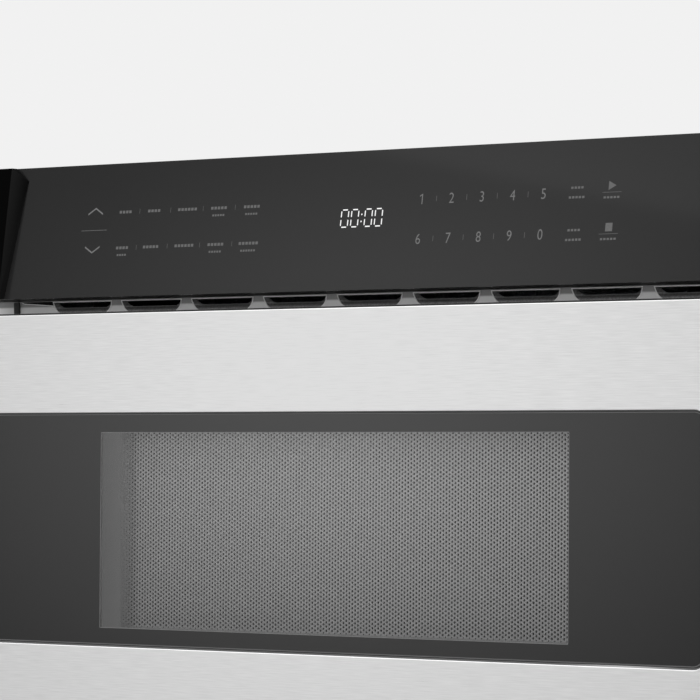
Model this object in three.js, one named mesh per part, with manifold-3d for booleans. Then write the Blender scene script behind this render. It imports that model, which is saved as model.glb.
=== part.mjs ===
// A built-in microwave drawer of the 24-inch class, closed, in millimetres.
// X runs to the right of someone facing it, Y to the back and Z up; the origin is under its middle.
import * as THREE from "three";
import { mergeVertices } from "three/addons/utils/BufferGeometryUtils.js";
import { ConvexGeometry } from "three/addons/geometries/ConvexGeometry.js";
import Module from "manifold-3d";

const wasm = await Module();
wasm.setup();

// Between two fixed pieces that touch.
const GAP = 0.3;
// How far a cutter runs past what it cuts, and how deep two joined shapes run into each other.
const PAST = 1;

// Oven cavity, inside.
const CAVITY_WIDTH = 444;
const CAVITY_HEIGHT = 210;
const CAVITY_DEPTH = 430;
const CAVITY_SHEET = 1.2;

// Space round the cavity, out to the case.
const SIDE_BAY = 53.8;
const TOP_BAY = 105.8;
const REAR_BAY = 100.8;
const COVER_SHEET = 1;
const BASE_SHEET = 1.5;
const BASE_FLANGE = 14;
const REAR_SHEET = 1.2;
const REAR_RETURN = 24;

// Flange that lies against the kitchen cabinet.
const FLANGE_OVERLAP = 20;
const FLANGE_SHEET = 2;
const FLANGE_STEP = 1;
const FLANGE_STRIP = 17;
const FLANGE_BOTTOM = 8;
const FLANGE_TOP_MARGIN = 5;

// Drawer front: a folded steel pan.
const FRONT_OVERLAP = 25;
const FRONT_BOTTOM = 6;
const FRONT_ABOVE_CAVITY = 48.9;
const FRONT_THICKNESS = 36;
const FRONT_SHEET = 1.2;
const FRONT_CORNER = 2;
const FRONT_TO_FLANGE = 6.5;

// Glass in the drawer front, almost flush with the steel, and the clear window in it.
const GLASS_SIDE_MARGIN = 37.4;
const GLASS_TOP_MARGIN = 61;
const GLASS_BOTTOM_MARGIN = 105.4;
const GLASS_CORNER = 7.3;
const GLASS_RECESS = 0.5;
const GLASS_THICKNESS = 4;
const GLASS_EDGE_GAP = 0.4;
const WINDOW_SIDE_MARGIN = 90.7;
const WINDOW_EDGE_MARGIN = 9.8;
const TUNNEL_BEYOND_WINDOW = 9;
const TUNNEL_SIDE_MARGIN = 16;
const TUNNEL_WALL = 2;
const SCREEN_BEHIND_GLASS = 14.8;
const SCREEN_SHEET = 0.8;
const INNER_WINDOW_THICKNESS = 3;
const INNER_FRAME_WALL = 2;

// Drawer box and what lies in it.
const BOX_SIDE_CLEARANCE = 9;
const BOX_FLOOR_CLEARANCE = 12;
const BOX_REAR_CLEARANCE = 19;
const BOX_TOP_CLEARANCE = 22;
const BOX_SHEET = 1;
const BOX_LEDGE = 22;
const TRAY_THICKNESS = 5;
const TRAY_CLEARANCE = 1.5;
const SEAL_OVERLAP = 9;
const SEAL_TO_FLANGE = 0.5;

// Telescopic slides, one each side.
const SLIDE_LENGTH = 400;
const SLIDE_HEIGHT = 45;
const SLIDE_DEPTH = 12;
const SLIDE_WALL = 1.5;
const SLIDE_CLEARANCE = 0.5;
const SLIDE_LIP = 3;
const SLIDE_ABOVE_FLOOR = 88;
const SLIDE_SETBACK = 1;
const INNER_RAIL_REACH = 2;
const DRAWER_TRAVEL = 380;

// Rack, pinions and the motor that drives them.
const TOOTH_MODULE = 2;
const ADDENDUM_SHARE = 0.75;
const PRESSURE_ANGLE = 25;
const PINION_TEETH = 18;
const MOTOR_TEETH = 12;
const TOOTH_BACKLASH = 0.3;
const ROOT_CLEARANCE = 0.4;
const RACK_WIDTH = 10;
const RACK_BACK = 7;
const RACK_OVERRUN = 16;
const PINION_WIDTH = 9;
const SHAFT_RADIUS = 4;
const SHAFT_SETBACK = 25;
const SHAFT_OVERHANG = 1.5;
const BEARING_WIDTH = 8;
const BEARING_LENGTH = 28;
const BEARING_WALL = 6;
const BEARING_TO_PINION = 2;
const DRIVE_GEAR_X = -70;
const DRIVE_GEAR_WIDTH = 8;
const GEAR_TO_BASE = 7;
const GEAR_TO_CAVITY = 3.3;
const ARM_SHEET = 2;
const ARM_HEIGHT = 103;
const ARM_FLANGE = 18;
const GEARBOX_RADIUS = 17;
const GEARBOX_LENGTH = 22;
const MOTOR_RADIUS = 15;
const MOTOR_LENGTH = 48;
const MOTOR_PLATE = 2;
const MOTOR_FOOT = 32;
const HUB_RADIUS = 5;
const HUB_CLEARANCE = 1;
const BRACKET_MARGIN = 1;

// Latch hooks on the drawer and the switches they press.
const LATCH_INSET = 16.7;
const LATCH_SHEET = 3;
const LATCH_LENGTH = 36;
const LATCH_HEIGHT = 6;
const LATCH_HOOK = 5;
const LATCH_ABOVE_CAVITY = 14;
const LATCH_CLEARANCE = 2.5;
const SWITCH_WIDTH = 16;
const SWITCH_HEIGHT = 16;
const SWITCH_LENGTH = 28;
const SWITCH_SETBACK = 2;
const SWITCH_POST_INSET = 4;

// Openings in the flange for the arms.
const ARM_SLOT_CLEARANCE = 3;

// Vent strip between the drawer front and the control panel.
const VENT_GAP = 10.4;
const VENT_SHEET = 1.2;
const VENT_BEHIND_FRONT = 15;
const VENT_SLOTS = 9;
const VENT_PITCH = 57;
const VENT_SLOT_WIDTH = 47.5;
const VENT_SLOT_HEIGHT = 6.8;
const VENT_SLOT_TAPER = 4;
const VENT_TOP_EDGE = 0.9;
const VENT_END_GAP = 1;
const VENT_DUCT_DEPTH = 90;
const VENT_DUCT_SHEET = 1;
const VENT_DUCT_HEIGHT = 30;
const VENT_DUCT_ABOVE_SWITCH = 4;

// Control panel, leaning back over the drawer.
const PANEL_HEIGHT = 81.7;
const PANEL_TILT = 8;
const PANEL_SETBACK = 9.6;
const PANEL_GLASS = 3;
const PANEL_WALL = 2.5;
const PANEL_BOARD = 1.6;
const PANEL_BOARD_DEPTH = 9;
const PANEL_BOARD_END = 60;
const DISPLAY_X = 13;
const DISPLAY_WIDTH = 56;
const DISPLAY_HEIGHT = 24;
const DISPLAY_DROP = 45;

// Black caps over the ends of the control panel.
const CAP_WIDTH = 36.9;
const CAP_PROUD = 4.75;
const CAP_CHEEK = 2.5;
const CAP_BEVEL_BOTTOM = 0.6;
const CAP_BEVEL_TOP = 11.3;
const CAP_CHAMFER_WIDTH = 3.4;
const CAP_CHAMFER_HEIGHT = 2.4;
const CAP_CHAMFER_DROP = 5.8;

// Microwave parts.
const WAVEGUIDE_WIDTH = 80;
const WAVEGUIDE_HEIGHT = 26.5;
const WAVEGUIDE_WALL = 1.2;
const WAVEGUIDE_FRONT = 40;
const WAVEGUIDE_PORT = 30;
const STIRRER_RADIUS = 85;
const STIRRER_ARM_WIDTH = 34;
const STIRRER_PLATE = 1.5;
const STIRRER_ABOVE_FLOOR = 3;
const STIRRER_SHAFT = 3;
const STIRRER_HUB = 9;
const STIRRER_HUB_RISE = 1.5;
const STIRRER_SHORT_RADIUS = 68;
const STIRRER_SHAFT_CLEARANCE = 2;
const STIRRER_MOTOR_RADIUS = 24;
const STIRRER_MOTOR_HEIGHT = 14;
const MAGNETRON_WIDTH = 90;
const MAGNETRON_DEPTH = 76;
const MAGNETRON_HEIGHT = 68;
const MAGNETRON_PLATE = 2;
const MAGNETRON_CORE = 20;
const MAGNETRON_FINS = 6;
const MAGNETRON_FIN_SHEET = 1.5;
const MAGNETRON_FIN_INSET = 6;
const MAGNETRON_FILTER_HEIGHT = 28;
const MAGNETRON_FILTER_INSET = 12;
const ANTENNA_RADIUS = 8;
const ANTENNA_LENGTH = 16;
const ANTENNA_CLEARANCE = 3;
const TRANSFORMER_X = -115;
const TRANSFORMER_WIDTH = 100;
const TRANSFORMER_CORE_DEPTH = 52;
const TRANSFORMER_HEIGHT = 84;
const TRANSFORMER_COIL = 15;
const TRANSFORMER_COIL_INSET = 18;
const TRANSFORMER_FOOT = 7;
const TRANSFORMER_FOOT_HEIGHT = 3;
const CAPACITOR_X = -212;
const CAPACITOR_WIDTH = 52;
const CAPACITOR_DEPTH = 34;
const CAPACITOR_HEIGHT = 92;
const CAPACITOR_CORNER = 16;
const CAPACITOR_TERMINAL = 8;

// Cooling fan at the back.
const FAN_X = 150;
const FAN_Z = 112;
const FAN_SIZE = 120;
const FAN_DEPTH = 36;
const FAN_BORE = 56;
const FAN_TIP_CLEARANCE = 4;
const FAN_BLADES = 5;
const FAN_BLADE_SHEET = 1.6;
const FAN_BLADE_WIDTH = 24;
const FAN_BLADE_ANGLE = 38;
const FAN_BLADE_ROOT = 3;
const FAN_HUB_RADIUS = 14;
const FAN_HUB_LENGTH = 18;
const FAN_SHAFT = 3;
const FAN_BAR_WIDTH = 14;
const FAN_BAR_SHEET = 2;
const FAN_MOTOR_SIZE = 50;
const FAN_MOTOR_LENGTH = 28;
const FAN_MOTOR_TAIL = 8;
const FAN_ROTOR_RADIUS = 17.5;
const FAN_GRILLE_SLOTS = 9;
const FAN_GRILLE_PITCH = 11;
const FAN_GRILLE_SLOT = 5;
const FAN_GRILLE_WIDTH = 92;

// Electrics on the cavity's roof, and the cord's way in.
const BOARD_WIDTH = 150;
const BOARD_LENGTH = 170;
const BOARD_SHEET = 1.6;
const BOARD_STANDOFF = 8;
const BOARD_X = -110;
const BOARD_POST_INSET = 8;
const BOARD_POST_RADIUS = 4;
const RELAY_X = -48;
const RELAY_SETBACK = 20;
const RELAY_WIDTH = 24;
const RELAY_LENGTH = 30;
const RELAY_HEIGHT = 20;
const CHOKE_X = 30;
const CHOKE_SETBACK = 90;
const CHOKE_SIZE = 40;
const CHOKE_HEIGHT = 30;
const SINK_X = -40;
const SINK_SETBACK = 90;
const SINK_WIDTH = 40;
const SINK_LENGTH = 10;
const SINK_HEIGHT = 36;
const FILTER_X = 40;
const FILTER_WIDTH = 60;
const FILTER_LENGTH = 80;
const FILTER_HEIGHT = 28;
const LAMP_X = 140;
const LAMP_SIZE = 44;
const LAMP_HEIGHT = 34;
const LAMP_PORT = 12;
const LAMP_WELL = 20.4;
const BULB_RADIUS = 7.2;
const BULB_LIFT = 2;
const BULB_TOP = 23.8;
const ROOF_PARTS_SETBACK = 150;
const GLAND_PROUD = 12;
const GLAND_RADIUS = 7;
const GLAND_FLANGE_RADIUS = 12;
const GLAND_FLANGE = 3;
const GLAND_NUT = 8;
const GLAND_BORE = 4;
const GLAND_X = -180;
const GLAND_DROP = 46;
const SCREW_RADIUS = 1.9;
const SCREW_HEAD_RADIUS = 4.2;
const SCREW_HEAD = 2.2;
const SCREW_LENGTH = 8;
const SCREW_INSET = 15;
const SCREW_HOLE_CLEARANCE = 0.3;

// Sides of a round piece, a shaft and a screw, and of a quarter of a round corner.
const ROUND_SIDES = 24;
const SHAFT_SIDES = 16;
const SCREW_SIDES = 12;
const NUT_SIDES = 6;
const CORNER_SIDES = 3;
const WELD_DISTANCE = 1e-4;

// ---- Levels worked out from the sizes above ----
const pinionRadius = (TOOTH_MODULE * PINION_TEETH) / 2;
const motorPinionRadius = (TOOTH_MODULE * MOTOR_TEETH) / 2;
const addendum = ADDENDUM_SHARE * TOOTH_MODULE;
const gearTip = pinionRadius + addendum;
const shaftZ = BASE_SHEET + GEAR_TO_BASE + gearTip;
const cavityUnder = shaftZ + gearTip + GEAR_TO_CAVITY;
const cavityFloor = cavityUnder + CAVITY_SHEET;
const cavityTop = cavityFloor + CAVITY_HEIGHT;
const cavityRoof = cavityTop + CAVITY_SHEET;
const coverTop = cavityRoof + TOP_BAY + COVER_SHEET;
const frontTop = cavityTop + FRONT_ABOVE_CAVITY;
const panelBottom = frontTop + VENT_GAP;
const panelTop = panelBottom + PANEL_HEIGHT;

const cavityHalf = CAVITY_WIDTH / 2;
const cavitySide = cavityHalf + CAVITY_SHEET;
const coverInner = cavitySide + SIDE_BAY;
const coverSide = coverInner + COVER_SHEET;
const flangeSide = coverSide + FLANGE_OVERLAP;
const frontSide = coverSide + FRONT_OVERLAP;

const depth =
  FRONT_THICKNESS +
  FRONT_TO_FLANGE +
  FLANGE_SHEET +
  GAP +
  CAVITY_DEPTH +
  CAVITY_SHEET +
  REAR_BAY +
  REAR_SHEET +
  GLAND_PROUD;
const frontY = -depth / 2;
const frontRearY = frontY + FRONT_THICKNESS;
const flangeY = frontRearY + FRONT_TO_FLANGE;
const flangeRearY = flangeY + FLANGE_SHEET;
const bodyY = flangeRearY + GAP;
const cavityBackY = bodyY + CAVITY_DEPTH;
const bayY = cavityBackY + CAVITY_SHEET;
const rearInnerY = bayY + REAR_BAY;
const rearY = rearInnerY + REAR_SHEET;
const coverEndY = rearInnerY - GAP;
const bayMiddleY = (bayY + rearInnerY) / 2;
const cavityMiddleY = (bodyY + cavityBackY) / 2;

const glassSide = frontSide - GLASS_SIDE_MARGIN;
const glassBottom = FRONT_BOTTOM + GLASS_BOTTOM_MARGIN;
const glassTop = frontTop - GLASS_TOP_MARGIN;
const glassFrontY = frontY + GLASS_RECESS;
const glassRearY = glassFrontY + GLASS_THICKNESS;
const windowSide = glassSide - WINDOW_SIDE_MARGIN;
const tunnelSide = windowSide + TUNNEL_SIDE_MARGIN;
const tunnelBottom = glassBottom + WINDOW_EDGE_MARGIN - TUNNEL_BEYOND_WINDOW;
const tunnelTop = glassTop - WINDOW_EDGE_MARGIN + TUNNEL_BEYOND_WINDOW;

const boxSide = cavityHalf - BOX_SIDE_CLEARANCE;
const boxBottom = cavityFloor + BOX_FLOOR_CLEARANCE;
const boxTop = cavityTop - BOX_TOP_CLEARANCE;
const boxFrontY = frontRearY + GAP;
const boxRearY = cavityBackY - BOX_REAR_CLEARANCE;

const slideOuterX = coverInner - GAP;
const slideInnerX = slideOuterX - SLIDE_DEPTH;
const slideZ = cavityFloor + SLIDE_ABOVE_FLOOR;
const slideFrontY = bodyY + SLIDE_SETBACK;
const slideRearY = slideFrontY + SLIDE_LENGTH;
const innerRailX = slideInnerX - INNER_RAIL_REACH;
const armX = innerRailX - GAP;
const armInnerX = armX - ARM_SHEET;
const rackX = armInnerX - GAP;
const rackInnerX = rackX - RACK_WIDTH;
const rackPitchZ = shaftZ + pinionRadius;
const rackTop = rackPitchZ + addendum + ROOT_CLEARANCE + RACK_BACK;
const armBottom = rackPitchZ + addendum;
const shaftY = bodyY + SHAFT_SETBACK;
const rackRearY = shaftY + DRAWER_TRAVEL + RACK_OVERRUN;
const pinionX = (rackX + rackInnerX) / 2;
const motorY = shaftY + pinionRadius + motorPinionRadius;

const panelTan = Math.tan(THREE.MathUtils.degToRad(PANEL_TILT));
const panelCos = Math.cos(THREE.MathUtils.degToRad(PANEL_TILT));
const capSide = frontSide - CAP_CHEEK - GAP;
const ventY = flangeY - GAP - VENT_SHEET;
const ventTop = panelBottom - GAP;
const ventSlotTop = ventTop - VENT_TOP_EDGE;
const ventSlotBottom = ventSlotTop - VENT_SLOT_HEIGHT;
const ventHalf = ((VENT_SLOTS - 1) * VENT_PITCH + VENT_SLOT_WIDTH) / 2;
const stirrerZ = cavityFloor + STIRRER_ABOVE_FLOOR;
const waveguideTop = cavityUnder - GAP;
const waveguideBottom = waveguideTop - WAVEGUIDE_HEIGHT;
const latchZ = cavityTop + LATCH_ABOVE_CAVITY;
const latchX = cavitySide - LATCH_INSET;
const roofPartsY = bodyY + ROOF_PARTS_SETBACK;
const lampY = roofPartsY + LAMP_SIZE / 2;

// ---- Shapes ----

// A closed geometry as a solid that can be joined and cut.
function solid(geometry) {
  const bare = geometry.index ? geometry.toNonIndexed() : geometry.clone();
  bare.deleteAttribute("normal");
  bare.deleteAttribute("uv");
  const merged = mergeVertices(bare, WELD_DISTANCE);
  const mesh = new wasm.Mesh({
    numProp: 3,
    vertProperties: merged.attributes.position.array,
    triVerts: new Uint32Array(merged.index.array),
  });
  return new wasm.Manifold(mesh);
}

// A box between two corners, each side given as [low, high].
function box(x, y, z) {
  const geometry = new THREE.BoxGeometry(x[1] - x[0], y[1] - y[0], z[1] - z[0]);
  geometry.translate((x[0] + x[1]) / 2, (y[0] + y[1]) / 2, (z[0] + z[1]) / 2);
  return solid(geometry);
}

// An outline drawn square to an axis, as a solid from low to high along it.
// The outline's coordinates are (y, z) for axis x, (x, z) for axis y and (x, y) for axis z.
function prism(axis, outline, low, high) {
  const shape = Array.isArray(outline)
    ? new THREE.Shape(outline.map((point) => new THREE.Vector2(point[0], point[1])))
    : outline;
  const options = { depth: high - low, bevelEnabled: false, curveSegments: CORNER_SIDES };
  const geometry = new THREE.ExtrudeGeometry(shape, options);
  if (axis === "x") {
    const turn = new THREE.Matrix4().set(0, 0, 1, low, 1, 0, 0, 0, 0, 1, 0, 0, 0, 0, 0, 1);
    geometry.applyMatrix4(turn);
  } else if (axis === "y") {
    geometry.rotateX(Math.PI / 2);
    geometry.translate(0, high, 0);
  } else {
    geometry.translate(0, 0, low);
  }
  return solid(geometry);
}

// A round bar along an axis, its centre given in the two other coordinates.
function rod(axis, centre, radius, low, high, sides = ROUND_SIDES) {
  const geometry = new THREE.CylinderGeometry(radius, radius, high - low, sides);
  const middle = (low + high) / 2;
  if (axis === "x") {
    geometry.rotateZ(-Math.PI / 2);
    geometry.translate(middle, centre[0], centre[1]);
  } else if (axis === "y") {
    geometry.translate(centre[0], middle, centre[1]);
  } else {
    geometry.rotateX(Math.PI / 2);
    geometry.translate(centre[0], centre[1], middle);
  }
  return solid(geometry);
}

// A rectangle with round corners, its sides given as [low, high].
function roundedRectangle(u, v, radius) {
  const shape = new THREE.Shape();
  const quarter = Math.PI / 2;
  shape.moveTo(u[0] + radius, v[0]);
  shape.lineTo(u[1] - radius, v[0]);
  shape.absarc(u[1] - radius, v[0] + radius, radius, -quarter, 0);
  shape.lineTo(u[1], v[1] - radius);
  shape.absarc(u[1] - radius, v[1] - radius, radius, 0, quarter);
  shape.lineTo(u[0] + radius, v[1]);
  shape.absarc(u[0] + radius, v[1] - radius, radius, quarter, 2 * quarter);
  shape.lineTo(u[0], v[0] + radius);
  shape.absarc(u[0] + radius, v[0] + radius, radius, 2 * quarter, 3 * quarter);
  return shape;
}

function join(first, ...others) {
  return others.reduce((whole, other) => whole.add(other), first);
}

function cut(first, ...others) {
  return others.reduce((whole, other) => whole.subtract(other), first);
}

// [low, high] for a stretch from inner to outer on one side, where side is -1 for left and 1 for right.
function across(side, inner, outer) {
  return side > 0 ? [inner, outer] : [-outer, -inner];
}

function both(half) {
  return [-half, half];
}

// ---- Finishes ----
const finishes = {
  steel: { color: 0xc9cbcd, roughness: 0.32, metalness: 0.9 },
  blackGlass: { color: 0x2b2b2c, roughness: 0.08, metalness: 0 },
  clearGlass: { color: 0x9aa0a2, roughness: 0.05, metalness: 0 },
  blackPlastic: { color: 0x121213, roughness: 0.4, metalness: 0 },
  greyPaint: { color: 0x8d8e90, roughness: 0.5, metalness: 0.2 },
  zinc: { color: 0xa8abad, roughness: 0.45, metalness: 0.8 },
  enamel: { color: 0x9b9c9b, roughness: 0.35, metalness: 0 },
  screen: { color: 0x8b8c8c, roughness: 0.5, metalness: 0.3 },
  rubber: { color: 0x2a2a2b, roughness: 0.8, metalness: 0 },
  ceramic: { color: 0xe6e4de, roughness: 0.25, metalness: 0 },
  gear: { color: 0xe2ded0, roughness: 0.5, metalness: 0 },
  copper: { color: 0x9a5b33, roughness: 0.4, metalness: 0.7 },
  laminated: { color: 0x3c3f43, roughness: 0.6, metalness: 0.5 },
  aluminium: { color: 0xc3c5c8, roughness: 0.4, metalness: 0.85 },
  circuit: { color: 0x2f5a3a, roughness: 0.55, metalness: 0 },
  whitePlastic: { color: 0xdddcd6, roughness: 0.5, metalness: 0 },
};

const materials = {};
for (const [name, look] of Object.entries(finishes)) {
  materials[name] = new THREE.MeshStandardMaterial(look);
}

const cabinet = new THREE.Group();
const drawer = new THREE.Group();
const drive = new THREE.Group();

function place(group, name, shape, material) {
  const made = shape.getMesh();
  const geometry = new THREE.BufferGeometry();
  geometry.setAttribute("position", new THREE.BufferAttribute(made.vertProperties, 3));
  geometry.setIndex(new THREE.BufferAttribute(made.triVerts, 1));
  geometry.computeVertexNormals();
  const mesh = new THREE.Mesh(geometry, material);
  mesh.name = name;
  group.add(mesh);
}

// ---- Case ----

function basePlate() {
  const y = [bodyY, coverEndY];
  const plate = box(both(coverSide), y, [0, BASE_SHEET]);
  const outer = coverInner - GAP;
  const flanges = [-1, 1].map((side) =>
    box(across(side, outer - BASE_SHEET, outer), y, [0, BASE_FLANGE]),
  );
  return join(plate, ...flanges);
}

function screwPlaces() {
  const x = coverInner - SCREW_INSET;
  const heights = [BASE_FLANGE + SCREW_INSET, coverTop - COVER_SHEET - SCREW_INSET];
  return heights.flatMap((z) => [
    [-x, z],
    [x, z],
  ]);
}

function screwHoles(low, high) {
  const radius = SCREW_RADIUS + SCREW_HOLE_CLEARANCE;
  return screwPlaces().map((centre) => rod("y", centre, radius, low, high, SCREW_SIDES));
}

function outerCover() {
  const bottom = BASE_SHEET + GAP;
  const wrap = box(both(coverSide), [bodyY, coverEndY], [bottom, coverTop]);
  const inside = box(both(coverInner), [bodyY - PAST, coverEndY - COVER_SHEET], [0, coverTop - COVER_SHEET]);
  const openBack = box(
    both(coverInner - REAR_RETURN),
    [bodyY, coverEndY + PAST],
    [0, coverTop - COVER_SHEET - REAR_RETURN],
  );
  const underReturn = box(both(coverInner), [bodyY, coverEndY + PAST], [0, BASE_FLANGE + GAP]);
  const holes = screwHoles(coverEndY - COVER_SHEET - PAST, coverEndY + PAST);
  return cut(wrap, inside, openBack, underReturn, ...holes);
}

function rearPanel() {
  const y = [rearInnerY, rearY];
  const through = [rearInnerY - PAST, rearY + PAST];
  const plate = box(both(coverSide), y, [0, coverTop]);
  const slots = [];
  for (let i = 0; i < FAN_GRILLE_SLOTS; i++) {
    const z = FAN_Z + (i - (FAN_GRILLE_SLOTS - 1) / 2) * FAN_GRILLE_PITCH;
    const x = [FAN_X - FAN_GRILLE_WIDTH / 2, FAN_X + FAN_GRILLE_WIDTH / 2];
    slots.push(box(x, through, [z - FAN_GRILLE_SLOT / 2, z + FAN_GRILLE_SLOT / 2]));
  }
  const cordHole = rod("y", [GLAND_X, coverTop - GLAND_DROP], GLAND_RADIUS + GAP, ...through);
  return cut(plate, ...slots, cordHole, ...screwHoles(...through));
}

function rearScrew(centre) {
  const headY = rearY + GAP;
  const head = rod("y", centre, SCREW_HEAD_RADIUS, headY, headY + SCREW_HEAD, SCREW_SIDES);
  const shank = rod("y", centre, SCREW_RADIUS, headY - SCREW_LENGTH, headY + PAST, SCREW_SIDES);
  return join(head, shank);
}

function cordGland() {
  const centre = [GLAND_X, coverTop - GLAND_DROP];
  const flangeStart = rearY + GAP;
  const nutEnd = rearInnerY - GAP;
  const tube = rod("y", centre, GLAND_RADIUS, nutEnd - GLAND_NUT, rearY + GLAND_PROUD);
  const flange = rod("y", centre, GLAND_FLANGE_RADIUS, flangeStart, flangeStart + GLAND_FLANGE);
  const nut = rod("y", centre, GLAND_FLANGE_RADIUS, nutEnd - GLAND_NUT / 2, nutEnd, NUT_SIDES);
  const boreEnds = [nutEnd - GLAND_NUT - PAST, rearY + GLAND_PROUD + PAST];
  const bore = rod("y", centre, GLAND_BORE, ...boreEnds, SCREW_SIDES);
  return cut(join(tube, flange, nut), bore);
}

// ---- Flange and cavity ----

function frontFrame() {
  const top = panelTop - FLANGE_TOP_MARGIN;
  const through = [flangeY - PAST, flangeRearY + FLANGE_STEP + PAST];
  const plate = box(both(flangeSide), [flangeY, flangeRearY], [FLANGE_BOTTOM, top]);
  const strips = [-1, 1].map((side) =>
    box(
      across(side, flangeSide - FLANGE_STRIP, flangeSide),
      [flangeY, flangeRearY + FLANGE_STEP],
      [FLANGE_BOTTOM, top],
    ),
  );
  const mouth = box(both(cavityHalf), through, [cavityFloor, cavityTop]);
  const armSlots = [-1, 1].map((side) =>
    box(across(side, rackInnerX - ARM_SLOT_CLEARANCE, slideOuterX - SLIDE_WALL - SLIDE_CLEARANCE), through, [
      rackPitchZ - addendum - ARM_SLOT_CLEARANCE,
      slideZ + SLIDE_HEIGHT / 2 + ARM_SLOT_CLEARANCE,
    ]),
  );
  const latchSlots = [-1, 1].map((side) => {
    const inner = latchX - LATCH_SHEET / 2 - LATCH_CLEARANCE;
    const outer = latchX + LATCH_SHEET / 2 + LATCH_CLEARANCE;
    const z = [latchZ - LATCH_CLEARANCE, latchZ + LATCH_HEIGHT + LATCH_HOOK + LATCH_CLEARANCE];
    return box(across(side, inner, outer), through, z);
  });
  const vent = box(both(ventHalf), through, [ventSlotBottom - VENT_TOP_EDGE, ventSlotTop]);
  return cut(join(plate, ...strips), mouth, ...armSlots, ...latchSlots, vent);
}

function ventStrip() {
  const through = [ventY - PAST, ventY + VENT_SHEET + PAST];
  const strip = box(both(frontSide - VENT_END_GAP), [ventY, ventY + VENT_SHEET], [
    frontTop - VENT_BEHIND_FRONT,
    ventTop,
  ]);
  const slots = [];
  for (let i = 0; i < VENT_SLOTS; i++) {
    const x = (i - (VENT_SLOTS - 1) / 2) * VENT_PITCH;
    const half = VENT_SLOT_WIDTH / 2;
    const outline = [
      [x - half, ventSlotTop],
      [x - half + VENT_SLOT_TAPER / 3, ventSlotBottom + VENT_SLOT_TAPER / 2],
      [x - half + VENT_SLOT_TAPER, ventSlotBottom],
      [x + half - VENT_SLOT_TAPER, ventSlotBottom],
      [x + half - VENT_SLOT_TAPER / 3, ventSlotBottom + VENT_SLOT_TAPER / 2],
      [x + half, ventSlotTop],
    ];
    slots.push(prism("y", outline, ...through));
  }
  return cut(strip, ...slots);
}

function exhaustDuct() {
  const half = ventHalf - VENT_PITCH / 2;
  const y = [bodyY, bodyY + VENT_DUCT_DEPTH];
  const low = latchZ + SWITCH_HEIGHT + VENT_DUCT_ABOVE_SWITCH;
  const z = [low, low + VENT_DUCT_HEIGHT];
  const outside = box(both(half), y, z);
  const inside = box(both(half - VENT_DUCT_SHEET), [y[0] - PAST, y[1] + PAST], [
    z[0] + VENT_DUCT_SHEET,
    z[1] - VENT_DUCT_SHEET,
  ]);
  return cut(outside, inside);
}

function ovenCavity() {
  const outside = box(both(cavitySide), [bodyY, cavityBackY + CAVITY_SHEET], [cavityUnder, cavityRoof]);
  const inside = box(both(cavityHalf), [bodyY - PAST, cavityBackY], [cavityFloor, cavityTop]);
  const port = rod("z", [0, cavityMiddleY], WAVEGUIDE_PORT, cavityUnder - PAST, cavityFloor + PAST);
  const lampPort = rod("z", [LAMP_X, lampY], LAMP_PORT, cavityTop - PAST, cavityRoof + PAST);
  return cut(outside, inside, port, lampPort);
}

// ---- Control panel ----

// Y of the panel's plane at a height, a given depth behind the glass's face.
function panelY(z, behind) {
  return frontY + PANEL_SETBACK + (z - panelBottom) * panelTan + behind / panelCos;
}

// A slab parallel to the panel's glass.
function panelSlab(x, near, far, low, high) {
  const outline = [
    [panelY(low, near), low],
    [panelY(low, far), low],
    [panelY(high, far), high],
    [panelY(high, near), high],
  ];
  return prism("x", outline, x[0], x[1]);
}

function panelGlass() {
  return panelSlab(both(capSide), 0, PANEL_GLASS, panelBottom, panelTop);
}

function panelHousing() {
  const near = PANEL_GLASS + GAP;
  const backY = flangeY - GAP;
  const outside = [
    [panelY(panelBottom, near), panelBottom],
    [backY, panelBottom],
    [backY, panelTop],
    [panelY(panelTop, near), panelTop],
  ];
  const low = panelBottom + PANEL_WALL;
  const high = panelTop - PANEL_WALL;
  const inside = [
    [panelY(low, near) - PAST, low],
    [backY - PANEL_WALL, low],
    [backY - PANEL_WALL, high],
    [panelY(high, near) - PAST, high],
  ];
  const tray = prism("x", outside, -capSide, capSide);
  return cut(tray, prism("x", inside, PANEL_WALL - capSide, capSide - PANEL_WALL));
}

function controlBoard() {
  const near = PANEL_GLASS + 2 * GAP + PANEL_BOARD_DEPTH;
  const margin = PANEL_WALL + GAP;
  return panelSlab(
    both(capSide - PANEL_BOARD_END),
    near,
    near + PANEL_BOARD,
    panelBottom + margin,
    panelTop - margin,
  );
}

function displayModule() {
  const x = [DISPLAY_X - DISPLAY_WIDTH / 2, DISPLAY_X + DISPLAY_WIDTH / 2];
  const top = panelTop - DISPLAY_DROP + DISPLAY_HEIGHT / 2;
  const near = PANEL_GLASS + GAP;
  return panelSlab(x, near, near + PANEL_BOARD_DEPTH, top - DISPLAY_HEIGHT, top);
}

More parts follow.
